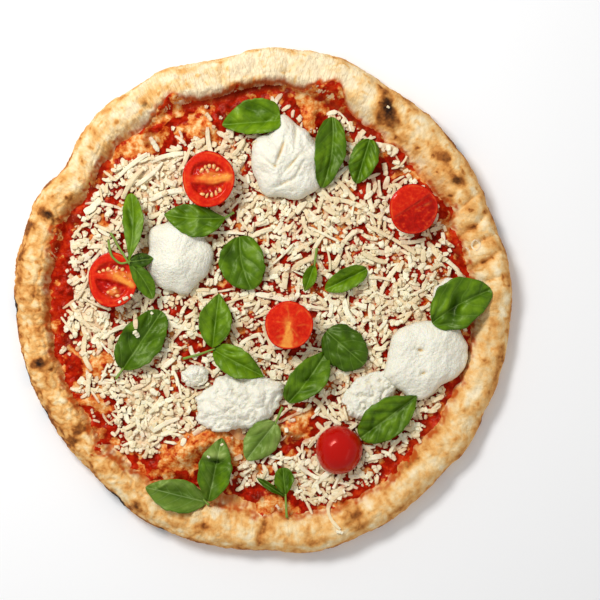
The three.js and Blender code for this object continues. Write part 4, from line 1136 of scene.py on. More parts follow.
def crumbBodies(places, sizes, turns, tilts, random):
    template, quads = crumbTemplate()
    count, each = len(places), len(template)
    points = template * (1 + random.uniform(-0.2, 0.2, (count, each, 1))) * 0.5 * sizes[:, None]
    x, y, z = np.moveaxis(points, 2, 0)
    z = z + (x * tilts[:, 0, None] + y * tilts[:, 1, None])
    points = np.stack([*rotated(x, y, turns[:, None]), z], 2) + places[:, None]
    faces = (each * np.arange(count)[:, None, None] + quads).reshape(-1, 4).tolist()
    return points.reshape(-1, 3), faces, each


def soakedAt(points):
    x, y, z = points.T
    patchy = hillSum(x, y, (0.16, 5, 58), (0.12, 14, 59))
    return np.clip(0.68 * smoothStep(z - sauceTop(x, y), 2.1, 0.1) + patchy, 0, 0.78)


# One piece of many bodies with as many points each, every body in a tone of its own
def makeShreds(name, bodies, darkest, random):
    points, faces, each = bodies
    tone = np.repeat(random.uniform(darkest, 1.05, len(points) // each), each)
    masks = {"tone": tone, "soaked": soakedAt(points)}
    makePiece(name, points, faces, masks, shredMaterial, "grated_cheese", smooth=False)


def makeStrips(name, laid, random):
    lines, widths, thicks = zip(*laid)
    twists = random.uniform(-0.5, 0.5, len(lines))
    makeShreds(name, stripBodies(lines, widths, thicks, twists, random), 0.35, random)


def makeGratedCheese():
    random = np.random.default_rng(shreds["seed"])
    pile = Pile()
    print("cheese pile ready")
    longLaid, shortLaid, crumbs = [], [], []

    def somewhere():
        radius, bearing = shreds["reach"] * math.sqrt(random.random()), 2 * math.pi * random.random()
        return radius * math.cos(bearing), radius * math.sin(bearing)

    def scatter(count, lengths, stations, into, bowShare):
        made, tries = 0, 0
        while made < count and tries < 12 * count:
            tries += 1
            x, y = somewhere()
            turn, length = math.pi * random.random(), random.uniform(*lengths)
            width, thick = random.uniform(*shreds["width"]), random.uniform(*shreds["thick"])
            bow = length * random.normal(0, bowShare)
            if random.random() > pile.density[pile.cells(x, y)]:
                continue
            line = layStrip(pile, x, y, turn, length, width, thick, bow, stations)
            if line is not None:
                into.append((line, width, thick))
                made += 1

    def scatterCrumbs(count):
        for _ in range(count):
            x, y = somewhere()
            size = mix(*shreds["crumbSize"], random.random() ** 1.6)
            size = size * np.array([1, random.uniform(0.6, 0.95), random.uniform(0.5, 0.85)])
            turn, tilt = math.pi * random.random(), random.normal(0, 0.2, 2)
            cells = pile.cells(x + np.array([-0.4, 0, 0.4, 0, 0]) * size[0],
                               y + np.array([0, -0.4, 0, 0.4, 0]) * size[0])
            if random.random() > pile.density[cells][-1] + 0.08:
                continue
            base = pile.height[cells].mean()
            z = base + 0.32 * size[2]
            low = base - pile.ground[cells].mean() < shreds["highest"] - 0.3
            if low and z + 0.5 * size[2] <= pile.ceiling[cells].min() - topGap:
                crumbs.append((np.array([x, y, z]), size, turn, tilt))
                np.maximum.at(pile.height, cells, z + 0.4 * size[2])

    scatter(shreds["shortCount"] // 2, shreds["shortLength"], shortStations, shortLaid, 0.04)
    scatterCrumbs(shreds["crumbTries"] // 2)
    for start, end, bow in shreds["placed"]:
        width, thick = random.uniform(2.3, 3.1), random.uniform(1.4, 1.9)
        line = layStrip(pile, *between(start, end), width, thick, bow, longStations, forced=True)
        if line is not None:
            longLaid.append((line, width, thick))
    scatter(shreds["longCount"], shreds["longLength"], longStations, longLaid, 0.07)
    scatter(shreds["shortCount"] // 2, shreds["shortLength"], shortStations, shortLaid, 0.05)
    scatterCrumbs(shreds["crumbTries"] // 2)
    for start, end, bow, width in shreds["perched"]:
        longLaid.append((perchStrip(pile, start, end, bow, 0.7 * width), width, 0.7 * width))
    makeStrips("shredsLong", longLaid, random)
    makeStrips("shredsShort", shortLaid, random)
    places, sizes, turns, tilts = (np.array(values) for values in zip(*crumbs))
    makeShreds("cheeseCrumbs", crumbBodies(places, sizes, turns, tilts, random), 0.3, random)


# One torn lump. Lobes are an angle, a spread and a rise; sides are straight, each an angle and
# its share of the half size.
def blob(x, y, length, width, height, turn, phase, look, lobes=(), sides=()):
    return {**spot(x, y, length, width, turn=turn), "height": height, "phase": phase, "look": look,
            "lobes": lobes, "sides": sides}


mozzarella = {
    "mozzarella_back": [blob(14.7, 84, 22, 23, 12, 0, 0.4, "folds", [(95, 14, 0.22), (330, 25, 0.1)])],
    "mozzarella_left": [
        blob(-50.1, 27.6, 20, 21.5, 11.5, 0, 2.1, "fluff", [(130, 20, 0.1), (250, 30, 0.08)]),
    ],
    "mozzarella_front": [blob(-13.5, -60, 27, 17, 9, 15, 1.2, "crumble", [(200, 20, 0.08), (100, 30, 0.1)])],
    "mozzarella_right": [
        blob(96.9, -33, 29, 21.5, 10.5, 41, 0.2, "ridges", [(170, 25, 0.12), (300, 25, 0.08)],
             sides=[(45.6, 0.88), (-33, 1.02), (5, 0.93), (68, 0.96), (135.5, 0.88), (188, 0.86)]),
        blob(63, -57, 15.5, 12.5, 6, 30, 1.5, "crumble", [(15, 30, 0.55)]),
        blob(112, 0, 10, 14.5, 6, 0, 0.9, "fluff"),
    ],
    "mozzarella_crumb": [blob(-40.5, -44.4, 8.4, 6.6, 4.5, 10, 0, "crumble")],
}
raggedness = {"folds": 0.012, "fluff": 0.016, "ridges": 0.014, "crumble": 0.05}
blobSegments, tomatoSegments = 132, 112

# furrows of the folded piece, and hollows: middle, half sizes, depth and turn
furrows = spots(
    (11, 90, 9, 1.1, 2.2, 70), (17.5, 82.5, 8, 1.0, 1.8, 50), (22, 79, 7, 0.9, 1.4, 62),
    (13, 71, 8, 1.1, 1.6, 25), (6, 82, 6, 1.0, 1.2, -30), (20, 101, 9, 1.0, 1.6, 85),
    (26, 90, 6, 0.9, 1.2, 40), (94.5, -28.8, 2.4, 1.1, 2.2, -10), (96.5, -42.6, 2.0, 1.1, 2.0, 20),
    (63.3, -48, 2.2, 1.4, 1.6), (70.5, -47.4, 2.0, 1.2, 1.6, 30), (57.3, -56, 2.2, 1.2, 1.4, 60),
)


def softDetail(look, x, y):
    fuzz = hillSum(x, y, (0.32, 2.0, 64), (0.16, 1.2, 74))
    folded = hills(x + 2 * hills(x, y, 6, 61), y, 7, 62)
    if look == "folds":
        drawn = hills(0.9 * x + 0.4 * y, 0.35 * (0.9 * y - 0.4 * x), 4.5, 65)
        return 0.7 * folded + 0.45 * (1 - np.abs(drawn)) ** 2 + 0.3 * pillows(hills(x, y, 4, 63)) + fuzz
    if look == "ridges":
        along, across = rotated(x, y, -math.radians(70))
        bent = across + 0.8 * hills(along, across, 9, 67)
        ridge = 0.4 * hills(0.2 * along, bent, 3.4, 68) + 0.25 * hills(0.3 * along, bent, 1.6, 69)
        return ridge + 0.3 * folded + fuzz
    if look == "crumble":
        lumps = pillows(hills(x + hills(x, y, 5, 60), y, 8, 70))
        fine = 0.4 * pillows(hills(x, y, 3.6, 71)) + hillSum(x, y, (0.34, 2.6, 75), (0.2, 1.3, 72))
        return 1.45 * lumps + fine
    return 0.2 * pillows(hills(x, y, 7, 63)) + 0.5 * folded + 0.75 * fuzz


def makeBlob(blob):
    look, phase, height = blob["look"], blob["phase"], blob["height"]
    shares = np.concatenate([[1.0, 1.0], np.linspace(0.99, 0.72, 12), np.linspace(0.68, 0.04, 26)])
    degrees, share = np.tile(ringDegrees(blobSegments), len(shares)), np.repeat(shares, blobSegments)
    torn = 0.045 * np.sin(np.radians(5 * degrees) + phase) + 0.03 * np.sin(np.radians(8 * degrees))
    outline = 1 + sumOfBells(degrees, blob["lobes"]) + torn - 0.01
    for angle, side in blob["sides"]:
        outline = np.minimum(outline, side / np.maximum(np.cos(np.radians(degrees - angle)), 0.1))
    seed = int(10 * phase) + 80
    fray = rimHillSum(degrees, 0.5 + 0 * degrees, (1.0, 30, 1, seed), (0.7, 13, 1, seed + 1))
    along, across = polar(degrees, share * (outline + raggedness[look] * fray))
    x, y = rotated(blob["length"] * along, blob["width"] * across, math.radians(blob["turn"]))
    x, y = blob["x"] + x, blob["y"] + y
    dome = np.maximum(1 - share ** 2, 0) ** (0.4 if look == "ridges" else 0.62)
    folds = 0.07 * np.sin(x / 4 + phase) + 0.06 * np.cos(y / 3.5)
    detail = softDetail(look, x, y) * smoothStep(share, 1.0, 0.85)
    dents = spotSum(x, y, furrows) * smoothStep(share, 1.0, 0.9)
    floor = bedTop(x, y) + 0.5
    z = floor + height * dome * (0.93 + folds) + 0.12 * height + detail - dents
    z[:blobSegments] = floor[:blobSegments] - 0.9
    z[blobSegments:2 * blobSegments] = floor[blobSegments:2 * blobSegments] - 0.1
    # painted shade: darker in the furrows and hollows; also darker round the edge
    hollowShade = smoothStep(dents, 0.7, 1.8) + 0.25 * smoothStep(detail, -0.2, -1.1)
    tone = 0.8 + 0.12 * hills(x, y, 8, 75) - 0.75 * hollowShade - 0.25 * smoothStep(share, 0.93, 1.0)
    counts = [blobSegments] * len(shares)
    faces = joinDisc(ringStarts(counts), counts) + [list(range(blobSegments))[::-1]]
    return np.stack([x, y, z], 1), faces, tone


def makeMozzarella():
    for name, blobs in mozzarella.items():
        parts = [makeBlob(blob) for blob in blobs]
        masks = {"tone": np.concatenate([part[2] for part in parts])}
        makePiece(name + "Torn", *joinBodies(parts), masks, mozzarellaMaterial, "soft_cheese", [name])


makeMozzarella()


# Half sizes, height and how each half lies. Of a cut face with open chambers: the line of its
# wall of flesh, how far out the chambers reach, the pulp, and each seed with its heading.
tomatoes = {
    "tomato_1": {
        "x": -32.1, "y": 73.2, "length": 15.9, "width": 17.1, "height": 13, "cutUp": True,
        "wall": [(-16, -0.6), (-6, -0.6), (3, -1.2), (9, 0.1), (16, 1.2)], "wallHalf": 0.9, "reach": 0.72,
        "pulp": spots((0.5, 1.9, 6.5, 3.2, 1, 6), (9.5, 2.0, 5, 1.4)),
        "seeds": [
            (-4.0, 5.2, 60), (-1.8, 7.2, 95), (0.6, 7.8, 90), (3.2, 7.5, 80), (5.4, 5.9, 60),
            (-0.4, 5.0, 120), (-3.6, -9.0, -150), (-0.8, -9.7, -95), (2.0, -9.2, -70), (4.6, -8.2, -80),
            (6.9, -6.4, -40),
        ],
    },
    "tomato_2": {
        "x": -89.1, "y": 13.2, "length": 15, "width": 16.8, "height": 13, "cutUp": True,
        "wall": [(-15, 2.6), (-6, 2.2), (0, 1.5), (5, 0), (15, -5)], "wallHalf": 0.9, "reach": 0.74,
        "pulp": spots((4.5, 3.2, 8, 2.6, 1, -14), (9, -1.8, 5, 1.2, 1, -25), (0.5, -7.2, 3.6, 2.6, 1, 10)),
        "seeds": [
            (-7.8, 3.9, 120), (-5.6, 5.4, 110), (-3.0, 6.2, 60), (-0.4, 4.9, 95), (2.2, 6.9, 80),
            (5.6, 6.2, 30), (8.0, 4.0, 60), (-2.4, -7.4, 170), (0.8, -5.6, 30), (2.6, -9.4, -20),
        ],
    },
    "tomato_3": {
        "x": 88.5, "y": 57, "length": 15, "width": 15.3, "height": 13, "cutUp": True,
        "lean": 11, "towards": -45,
    },
    "tomato_4": {"x": 15.9, "y": -13.8, "length": 14.7, "width": 14.7, "height": 12.5, "cutUp": True},
    "tomato_5": {"x": 45.9, "y": -88.8, "length": 14.4, "width": 15, "height": 14.5, "cutUp": False},
}
lowestTurn = 20  # where the rounded skin meets the flat it lies on
seedDraws = 5  # starts the random numbers of the seeds


# Relief of a cut face, and masks of its pale core and its dark gel
def faceDetail(name, tomato, x, y, share):
    if "wall" in tomato:
        wallHalf = tomato["wallHalf"] * (1 + 0.3 * hills(x, y, 5, 91))
        aside = np.abs(y - np.interp(x, *zip(*tomato["wall"]))) - wallHalf
        inside = np.minimum((tomato["reach"] + 0.07 * hills(x, y, 8, 92) - share) * tomato["length"], aside)
        chamber = smoothStep(inside, 0, 2.6)
        pulp = np.clip(1.3 * spotSum(x, y, tomato["pulp"]), 0, 1)
        deep = chamber * (1 - 0.75 * pulp)
        relief = 0.45 * chamber * hills(x, y, 2.4, 93) + 0.3 * (1 - chamber) * smoothStep(share, 0.9, 0.7)
        ridge = bell(aside / 1.2) * smoothStep(share, 0.95, 0.7) * smoothStep(x, -4, 8)
        coreAndGlint = np.clip(pulp * (0.8 + 0.5 * hills(x, y, 2.6, 95)) + 0.7 * ridge, 0, 1)
        return relief - 1.7 * deep, coreAndGlint, np.clip(deep * 1.1, 0, 1)
    if name == "tomato_4":
        middle = (0.9 + 0.22 * np.maximum(-y, 0)) * (1 + hillSum(x, y, (0.45, 3.5, 96), (0.25, 1.6, 90)))
        wedge = bell(np.maximum(np.abs(x - 0.06 * y + 0.3) / middle - 0.4, 0)) * smoothStep(y, 2.6, 0.6)
        heart = ovalSpot(x, y, spot(-0.6, 1.4, 2.6, 3.4))
        rayed = 7 * (degreesAt(x, y) + 14 * hills(x, y, 7, 89)) + 20
        rays = np.clip(np.cos(np.radians(rayed)), 0, 1) ** 8
        rays *= 0.35 * bell((share - 0.5) / 0.3) * smoothStep(hills(x, y, 6, 88), -0.3, 0.4)
        chambers = spotSum(x, y, spots((7.6, -3.4, 4, 4.6), (-8, -5, 3.6, 4, 0.7)))
        relief = 0.35 * (1 - share ** 2) - 0.5 * chambers - 0.25 * wedge + 0.2 * hills(x, y, 4, 97)
        return relief, np.clip(0.95 * wedge + 0.5 * heart + rays, 0, 1), 0.55 * chambers
    across = rotated(x - 0.4, y - 3.2, -math.radians(33))[1]
    ridge = smoothStep(across, -0.6, 0.6)
    streak = ovalSpot(x, y, spot(7, 2.3, 5, 0.7, turn=26))
    relief = 0.5 * (1 - share ** 2) + 0.6 * ridge * smoothStep(share, 1.0, 0.8) - 0.5 * streak
    rind = 0.3 * bell((across + 0.9) / 0.35) * smoothStep(share, 1.0, 0.85)
    dull = mix(0.95, 0.1, ridge) * (0.9 + 0.2 * hills(x, y, 4, 99))
    return relief + 0.2 * hills(x, y, 5, 98), np.clip(streak + rind, 0, 1), np.clip(dull, 0, 1)


# Turns points of an upright half to the way it leans, about the middle of its foot
def tomatoFrame(tomato):
    lean, towards = math.radians(tomato.get("lean", 0)), math.radians(tomato.get("towards", 0))
    axis = np.array([-math.sin(towards), math.cos(towards), 0])
    cross = np.array([[0, -axis[2], axis[1]], [axis[2], 0, -axis[0]], [-axis[1], axis[0], 0]])
    return np.eye(3) + math.sin(lean) * cross + (1 - math.cos(lean)) * cross @ cross


def seedBodies(tomato, spin, base, faceLevel, random):
    ball, quads = crumbTemplate()
    ball = ball / np.linalg.norm(ball, axis=1, keepdims=True)
    points, faces = [], []
    for x, y, heading in tomato["seeds"]:
        size = np.array([random.uniform(2.8, 4.2), random.uniform(1.6, 2.5), 1.5])
        along, across, up = (ball * 0.5 * size).T
        across = across * (1 + 0.45 * along / size[0])  # blunter at one end
        body = np.stack([*rotated(along, across, math.radians(heading + random.normal(0, 16))), up], 1)
        faces += (len(ball) * len(points) + quads).tolist()
        points.append((body + [x, y, faceLevel - random.uniform(1.0, 1.5)]) @ spin.T + base)
    return np.concatenate(points), faces


def makeTomatoes():
    random = np.random.default_rng(seedDraws)
    for name, tomato in tomatoes.items():
        turns = np.radians(np.linspace(lowestTurn, 90, 16))
        faceLevel = tomato["height"] * math.cos(turns[0])
        shares, heights = np.sin(turns) * 0.995, faceLevel - tomato["height"] * np.cos(turns)
        skin = np.ones(len(turns))
        if tomato["cutUp"]:
            heights[-1] -= 0.35
            inner = np.concatenate([[0.985, 0.955], np.linspace(0.93, 0.02, 32)])
            onEdge = 1.0 * (inner > 0.97)
            shares, skin = np.append(shares, inner), np.append(skin, onEdge)
            heights = np.append(heights, faceLevel - 0.12 * onEdge)
        degrees = np.tile(ringDegrees(tomatoSegments), len(shares))
        share, z, skin = (np.repeat(values, tomatoSegments) for values in (shares, heights, skin))
        waves = 0.012 * np.sin(np.radians(3 * degrees + 70)) + 0.01 * np.sin(np.radians(5 * degrees))
        x, y = polar(degrees, share * (0.985 + waves))
        x, y = tomato["length"] * x, tomato["width"] * y
        coreAndGlint, gel = np.zeros(len(x)), np.zeros(len(x))
        if tomato["cutUp"]:
            relief, coreAndGlint, gel = faceDetail(name, tomato, x, y, share)
            # painted highlight: a broken pale line just inside the cut edge, put into the core mask
            rim = 0.6 * bell((share - 0.93) / 0.024) * smoothStep(hills(x, y, 7, 87), -0.3, 0.5)
            onFace = (1 - skin) * smoothStep(share, 0.96, 0.9)
            z, coreAndGlint, gel = z + relief * onFace, np.maximum(coreAndGlint, rim) * onFace, gel * onFace
        else:
            lumps = hillSum(x, y, (0.16, 5, 85), (0.06, 2.4, 86))
            z = faceLevel - z + lumps * smoothStep(share, 0.95, 0.6)
        spin = tomatoFrame(tomato)
        points = np.stack([x, y, z], 1) @ spin.T
        base = np.array([tomato["x"], tomato["y"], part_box(name)[0].z / mm - points[:, 2].min()])
        counts = [tomatoSegments] * len(shares)
        starts = ringStarts(counts)[::1 if tomato["cutUp"] else -1]
        faces = joinDisc(starts, counts) + [list(range(starts[0], starts[0] + tomatoSegments))[::-1]]
        masks = {"skin": skin, "coreAndGlint": coreAndGlint, "gel": gel}
        finish = tomatoMaterial if tomato["cutUp"] else tomatoSkinMaterial
        makePiece(name + "Half", points + base, faces, masks, finish, "tomato", [name])
        if "seeds" in tomato:
            seeds, seedFaces = seedBodies(tomato, spin, base, faceLevel, random)
            makePiece(name + "Seeds", seeds, seedFaces, {}, seedMaterial, "tomato")


makeTomatoes()


# A leaf from its base to its tip. Curl is its cup, arch and wave and the wave's phase. Widest
# shapes the outline of its left and right, blunt that of its base and tip, bow bends the midrib,
# under is how much of it shows the pale side, and crimp how strongly it is quilted by its veins.
# Dents are spots with a depth, below 0 for a swelling, and pales are spots that show the pale side.
# The brightness given lightens or darkens the whole leaf: partly its own tone, partly painted light and
# shade.
def leaf(base, tip, width, curl, widest=(0.85, 0.85), blunt=(0.55, 0.7), left=1.0, right=1.0, bow=0.0,
         bright=0.0, under=0.0, crimp=1.0, dents=(), pales=()):
    return {"base": base, "tip": tip, "width": width, "curl": curl, "widest": widest, "blunt": blunt,
            "left": left, "right": right, "bow": bow, "bright": bright, "under": under, "crimp": crimp,
            "dents": dents, "pales": pales}


basil = {
    "basil_01": {"leaves": [
        leaf((10.8, 109), (-24.3, 106.4), 22, (4, 2, 0.8, 0), (0.75, 0.7), (0.3, 0.7), left=0.66, right=1.3,
             bright=0.12,
             dents=spots((-5, 116, 7, 3.2, 2.8, -6), (2, 108.5, 6, 1.3, 1.6, 40), (-1, 104, 8, 3, -1.2, 8),
                         (-14, 111, 5, 3, -1.2, 60))),
    ]},
    "basil_02": {"leaves": [
        leaf((41.8, 111), (36, 68.5), 18.6, (3, 3, 0.7, 1), (0.72, 0.8), (0.75, 0.5), left=0.9, right=1.14,
             bow=2.6,
             dents=spots((37, 85, 5, 0.9, 1.3, 73), (40, 82.5, 4.5, 0.9, 1.1, 65))),
    ]},
    "basil_03": {"leaves": [
        leaf((64.5, 97.8), (56.2, 71.2), 16.6, (3, 2, 0.6, 2), (0.8, 0.95), (0.42, 0.6), crimp=2.2),
    ]},
    "basil_04": {
        "junction": (-79.8, 23.8),
        "over": "tomato_2",
        "stems": [[(-91.5, 41.8), (-86, 33.5), (-79.8, 23.8)],
                  [(-92.2, 37.5), (-89.8, 27.2), (-84.5, 22.5), (-79.8, 23.8)]],
        "leaves": [
            leaf((-79.7, 24.5), (-79, 65.2), 12.4, (2, 1, 0.8, 1), (1.5, 1.25), (0.8, 0.45), bow=-2.2,
                 bright=0.12,
                 dents=spots((-79, 48, 1.4, 9, 1.8, 12), (-82.5, 58, 1.4, 4, -1.0, -10))),
            leaf((-79.1, 23.9), (-65.2, 26), 9, (-2, 1, 0.5, 2), bright=-0.25,
                 dents=spots((-73, 26, 1.2, 4, 1.4, 20))),
            leaf((-79.2, 23.4), (-65.4, 2), 10.6, (1.5, 1, 0.4, 0), (1.1, 1.1), (0.7, 0.5), bow=1.5,
                 bright=-0.05),
        ],
    },
    "basil_05": {"junction": (-21.9, 51), "stems": [[(-16.5, 54.2), (-21.9, 51)]], "leaves": [
        leaf((-22.3, 50.6), (-59, 52.4), 20, (1, 2, 0.5, 0), (0.85, 1.2), (0.75, 0.85), left=1.15,
             right=0.85, bow=1.5,
             dents=spots((-46, 55, 6, 2.2, 1.6, -35), (-34, 46.5, 7, 1.3, 1.6, -18),
                         (-41, 50, 6, 2.5, -1.2, -25))),
    ]},
    "basil_06": {"leaves": [
        leaf((-13.8, 39.4), (-6.6, 7.4), 27.6, (3.5, 2, 1, 2), (0.95, 0.95), (0.42, 0.52), bow=-2.2,
             dents=spots((-19, 26, 2.6, 6, 2.4, -5), (-4.5, 32, 5, 2.2, -1.0, -50),
                         (-12, 29, 5, 1.0, 1.0, -65))),
    ]},
    "basil_07": {
        "junction": (-30, -28.6),
        "stems": [[(-48.3, -34.2), (-38, -31.5), (-30, -28.6)]],
        "leaves": [
            leaf((-30, -27.4), (-26.1, 5.2), 19.8, (4, 3, 0.8, 0), (0.9, 0.9), (0.75, 0.85), bright=0.08,
                 dents=spots((-29, -13, 1.6, 6, 1.2))),
            leaf((-29.5, -28.8), (1, -44.8), 18, (3, 3, 0.8, 2), (0.75, 0.85), (0.62, 0.95), bright=0.1,
                 dents=spots((-20, -29.5, 5, 1.4, 1.9, -20), (-16, -38, 6, 1.2, 1.4, -30),
                             (-13, -33, 5, 2, -1.0, -35))),
        ],
    },
    "basil_08": {"leaves": [
        leaf((15.6, -60.5), (38.8, -28.8), 20.4, (4, 3, 0.8, 1), (0.8, 1.2), (0.5, 0.85), bow=-1.2,
             dents=spots((28, -46.5, 6, 1.0, 1.9, 14), (26, -53, 5, 1.0, 1.6, 15),
                         (24, -38, 3, 4, -0.8, -30))),
    ]},
    "basil_09": {"leaves": [
        leaf((38.2, -17.6), (61, -37.5), 25, (-2.5, 3, 1.2, 0), (0.9, 1.0), (0.4, 0.42), left=0.98,
             right=1.04, bright=-0.18,
             dents=spots((52, -20, 2.2, 5, 1.6, 30), (45, -31, 8, 1.4, 1.2, -20))),
    ]},
    "basil_10": {"leaves": [
        leaf((101.6, -12.6), (136.8, 7.4), 28.8, (4, 2, 1, 2), (0.9, 0.85), (0.62, 0.5), left=1.08,
             right=0.92, bow=1.8, crimp=1.5,
             dents=spots((115.5, -1.5, 9, 2.8, 4.2, 78), (108.5, 1, 10, 1.3, 1.2, 68),
                         (105.5, -3, 7, 1.0, 1.0, 64), (111.5, 3, 9, 1.6, -1.4, 72),
                         (122, -3, 8, 3, -1.2, 60), (125, 2, 6, 0.9, 0.9, 25))),
    ]},
    "basil_11": {"leaves": [
        leaf((62.7, 19.8), (37.6, 7.4), 13.2, (4, 2, 0.5, 0), (0.95, 1.0), (0.42, 0.55), bright=0.12,
             dents=spots((50, 14, 9, 0.9, 1.0, 26))),
    ]},
    "basil_12": {"junction": (31.3, 22.8), "stems": [[(32.7, 33), (31.3, 22.8)]], "leaves": [
        leaf((31.2, 22.4), (25.3, 6.4), 8.2, (2.5, 2, 0.4, 0), (0.95, 0.9), (0.75, 0.85), bright=0.15),
    ]},
    "basil_13": {"junction": (-84.3, -40.8), "stems": [[(-88.5, -46.8), (-84.3, -40.8)]], "leaves": [
        leaf((-84, -40.4), (-60.5, -5.6), 25, (3, 2, 1.2, 1), (0.75, 1.0), (0.6, 0.42), bright=-0.08,
             dents=spots((-79.5, -21, 3.4, 2.8, 2.4), (-70, -12, 6, 1.3, 1.8, 70),
                         (-77, -14, 4, 3, -1.4, 30), (-66, -22, 8, 1.0, 1.3, 50))),
    ]},
    "basil_14": {"junction": (8.1, -72), "stems": [[(12.3, -62.4), (8.1, -72)]], "leaves": [
        leaf((7.8, -72.4), (-9.6, -94.5), 19.6, (-2.5, 1, 0.6, 0), (0.85, 0.9), (0.45, 0.62), right=1.02,
             bright=0.05, under=1.0,
             dents=spots((-1, -84, 8, 5, 2.4, 48), (-2, -79, 7, 0.9, 0.8, 40))),
    ]},
    "basil_15": {"junction": (-32.8, -120.6), "stems": [[(-31.6, -122.4), (-34.6, -119.6)]], "leaves": [
        leaf((-32.5, -119.8), (-24.3, -81.5), 20, (4, 3, 0.8, 0), (1.0, 0.95), (0.7, 0.75),
             pales=spots((-28, -89.5, 6, 5, 2.4, 10), (-31, -108, 3, 8, 0.8)),
             dents=spots((-27.5, -95.8, 6.5, 1.4, 4.2, -6), (-29, -106, 3.5, 7, 1.8),
                         (-27, -91.5, 6, 2.5, -2.0))),
        leaf((-33.8, -120.3), (-70, -111), 19.8, (4, 2, 0.8, 2), (0.9, 0.85), (0.7, 0.72),
             pales=spots((-50, -115.5, 20, 7, 1.9, -12)),
             dents=spots((-51, -115.5, 13, 4.2, 3.4, -12), (-60, -110, 5, 1.0, -1.2, 30))),
    ]},
    "basil_16": {"junction": (13.8, -117), "stems": [[(14.6, -130), (13.8, -117)]], "leaves": [
        leaf((13.8, -116.6), (12.2, -99.5), 12, (2.5, 1, 0.6, 0), (1.3, 1.5), (0.7, 0.38), under=0.35,
             dents=spots((15.5, -107, 1.2, 5, 1.6))),
        leaf((12.9, -116.6), (-3.4, -105.6), 4.4, (1, 1.5, 0.3, 0), (1.2, 1.2), (0.7, 0.7), bright=-0.15),
    ]},
    "basil_17": {"leaves": [
        leaf((92.4, -56.4), (58.8, -81.5), 23.6, (3, 2.5, 0.9, 1), (1.1, 1.2), (0.7, 0.42), bright=0.02,
             crimp=1.6,
             dents=spots((66, -72, 4.5, 1.1, 1.6, 80), (77, -70, 8, 1.4, 1.0, 30),
                         (70, -66, 6, 1.2, 1.2, 15), (82, -64, 8, 1.0, 0.9, 20))),
    ]},
}
leafThickness = 0.5
leafRows, leafColumns = 46, 23
stemRadius, stemSides = 0.75, 8
stemWeights = (0.1, 0.2, 0.4, 0.2, 0.1)  # that smooth a stem
bendReach = 9


def gridOf(alongs, acrosses):
    return (grid.ravel() for grid in np.meshgrid(alongs, acrosses, indexing="ij"))


def leafSurface(leaf, along, across):
    base, tip, width = leaf["base"], leaf["tip"], leaf["width"]
    cup, arch, wave, phase = leaf["curl"]
    length = math.dist(base, tip)
    ahead = ((tip[0] - base[0]) / length, (tip[1] - base[1]) / length)
    toLeft = across > 0
    outline = np.sin(np.pi * along ** np.where(toLeft, *leaf["widest"])) ** mix(*leaf["blunt"], along)
    ragged = hillSum(5 * along, 9.0 * np.sign(across) + base[0], (1.0, 0.8, 23), (0.6, 0.35, 24))
    outline = outline * (1 + 0.07 * ragged * (across != 0)) * np.where(toLeft, leaf["left"], leaf["right"])
    side = across * np.maximum(0.5 * width * outline, 0.8 * (1 - 0.7 * along))
    spread = np.abs(side) / (0.5 * width)
    curl = cup * spread ** 1.5 - arch * (2 * along - 1) ** 2
    curl = curl + wave * spread ** 2 * np.sin(3 * np.pi * along + phase + across)
    aside = side + leaf["bow"] * 4 * along * (1 - along)
    x = base[0] + ahead[0] * along * length - ahead[1] * aside
    y = base[1] + ahead[1] * along * length + ahead[0] * aside
    return x, y, curl, side, length


# What makes up the lie of a leaf: its level, its slopes and the bend near a junction
def lieTerms(x, y, junction):
    terms = [np.ones(len(x)), x, y]
    if junction:
        terms.append(np.clip(np.hypot(x - junction[0], y - junction[1]) / bendReach, 0, 1))
    return np.stack(terms, 1)


# How much of each the solid leaf was laid down with, by least squares
def laidDown(tree, leaf, junction):
    along, across = gridOf([0.14, 0.36, 0.6, 0.84], [-0.5, 0.0, 0.5])
    x, y, curl, _, _ = leafSurface(leaf, along, across)
    rise = levelsUnder(tree, x, y, np.nan) - curl
    kept = ~np.isnan(rise)
    terms, rise = lieTerms(x[kept], y[kept], junction), rise[kept]
    good = np.ones(len(rise), bool)
    for _ in range(2):  # the second time without points that another leaf hides
        fit = np.linalg.lstsq(terms[good], rise[good], rcond=None)[0]
        good = np.abs(terms @ fit - rise) < 1.2
    return fit


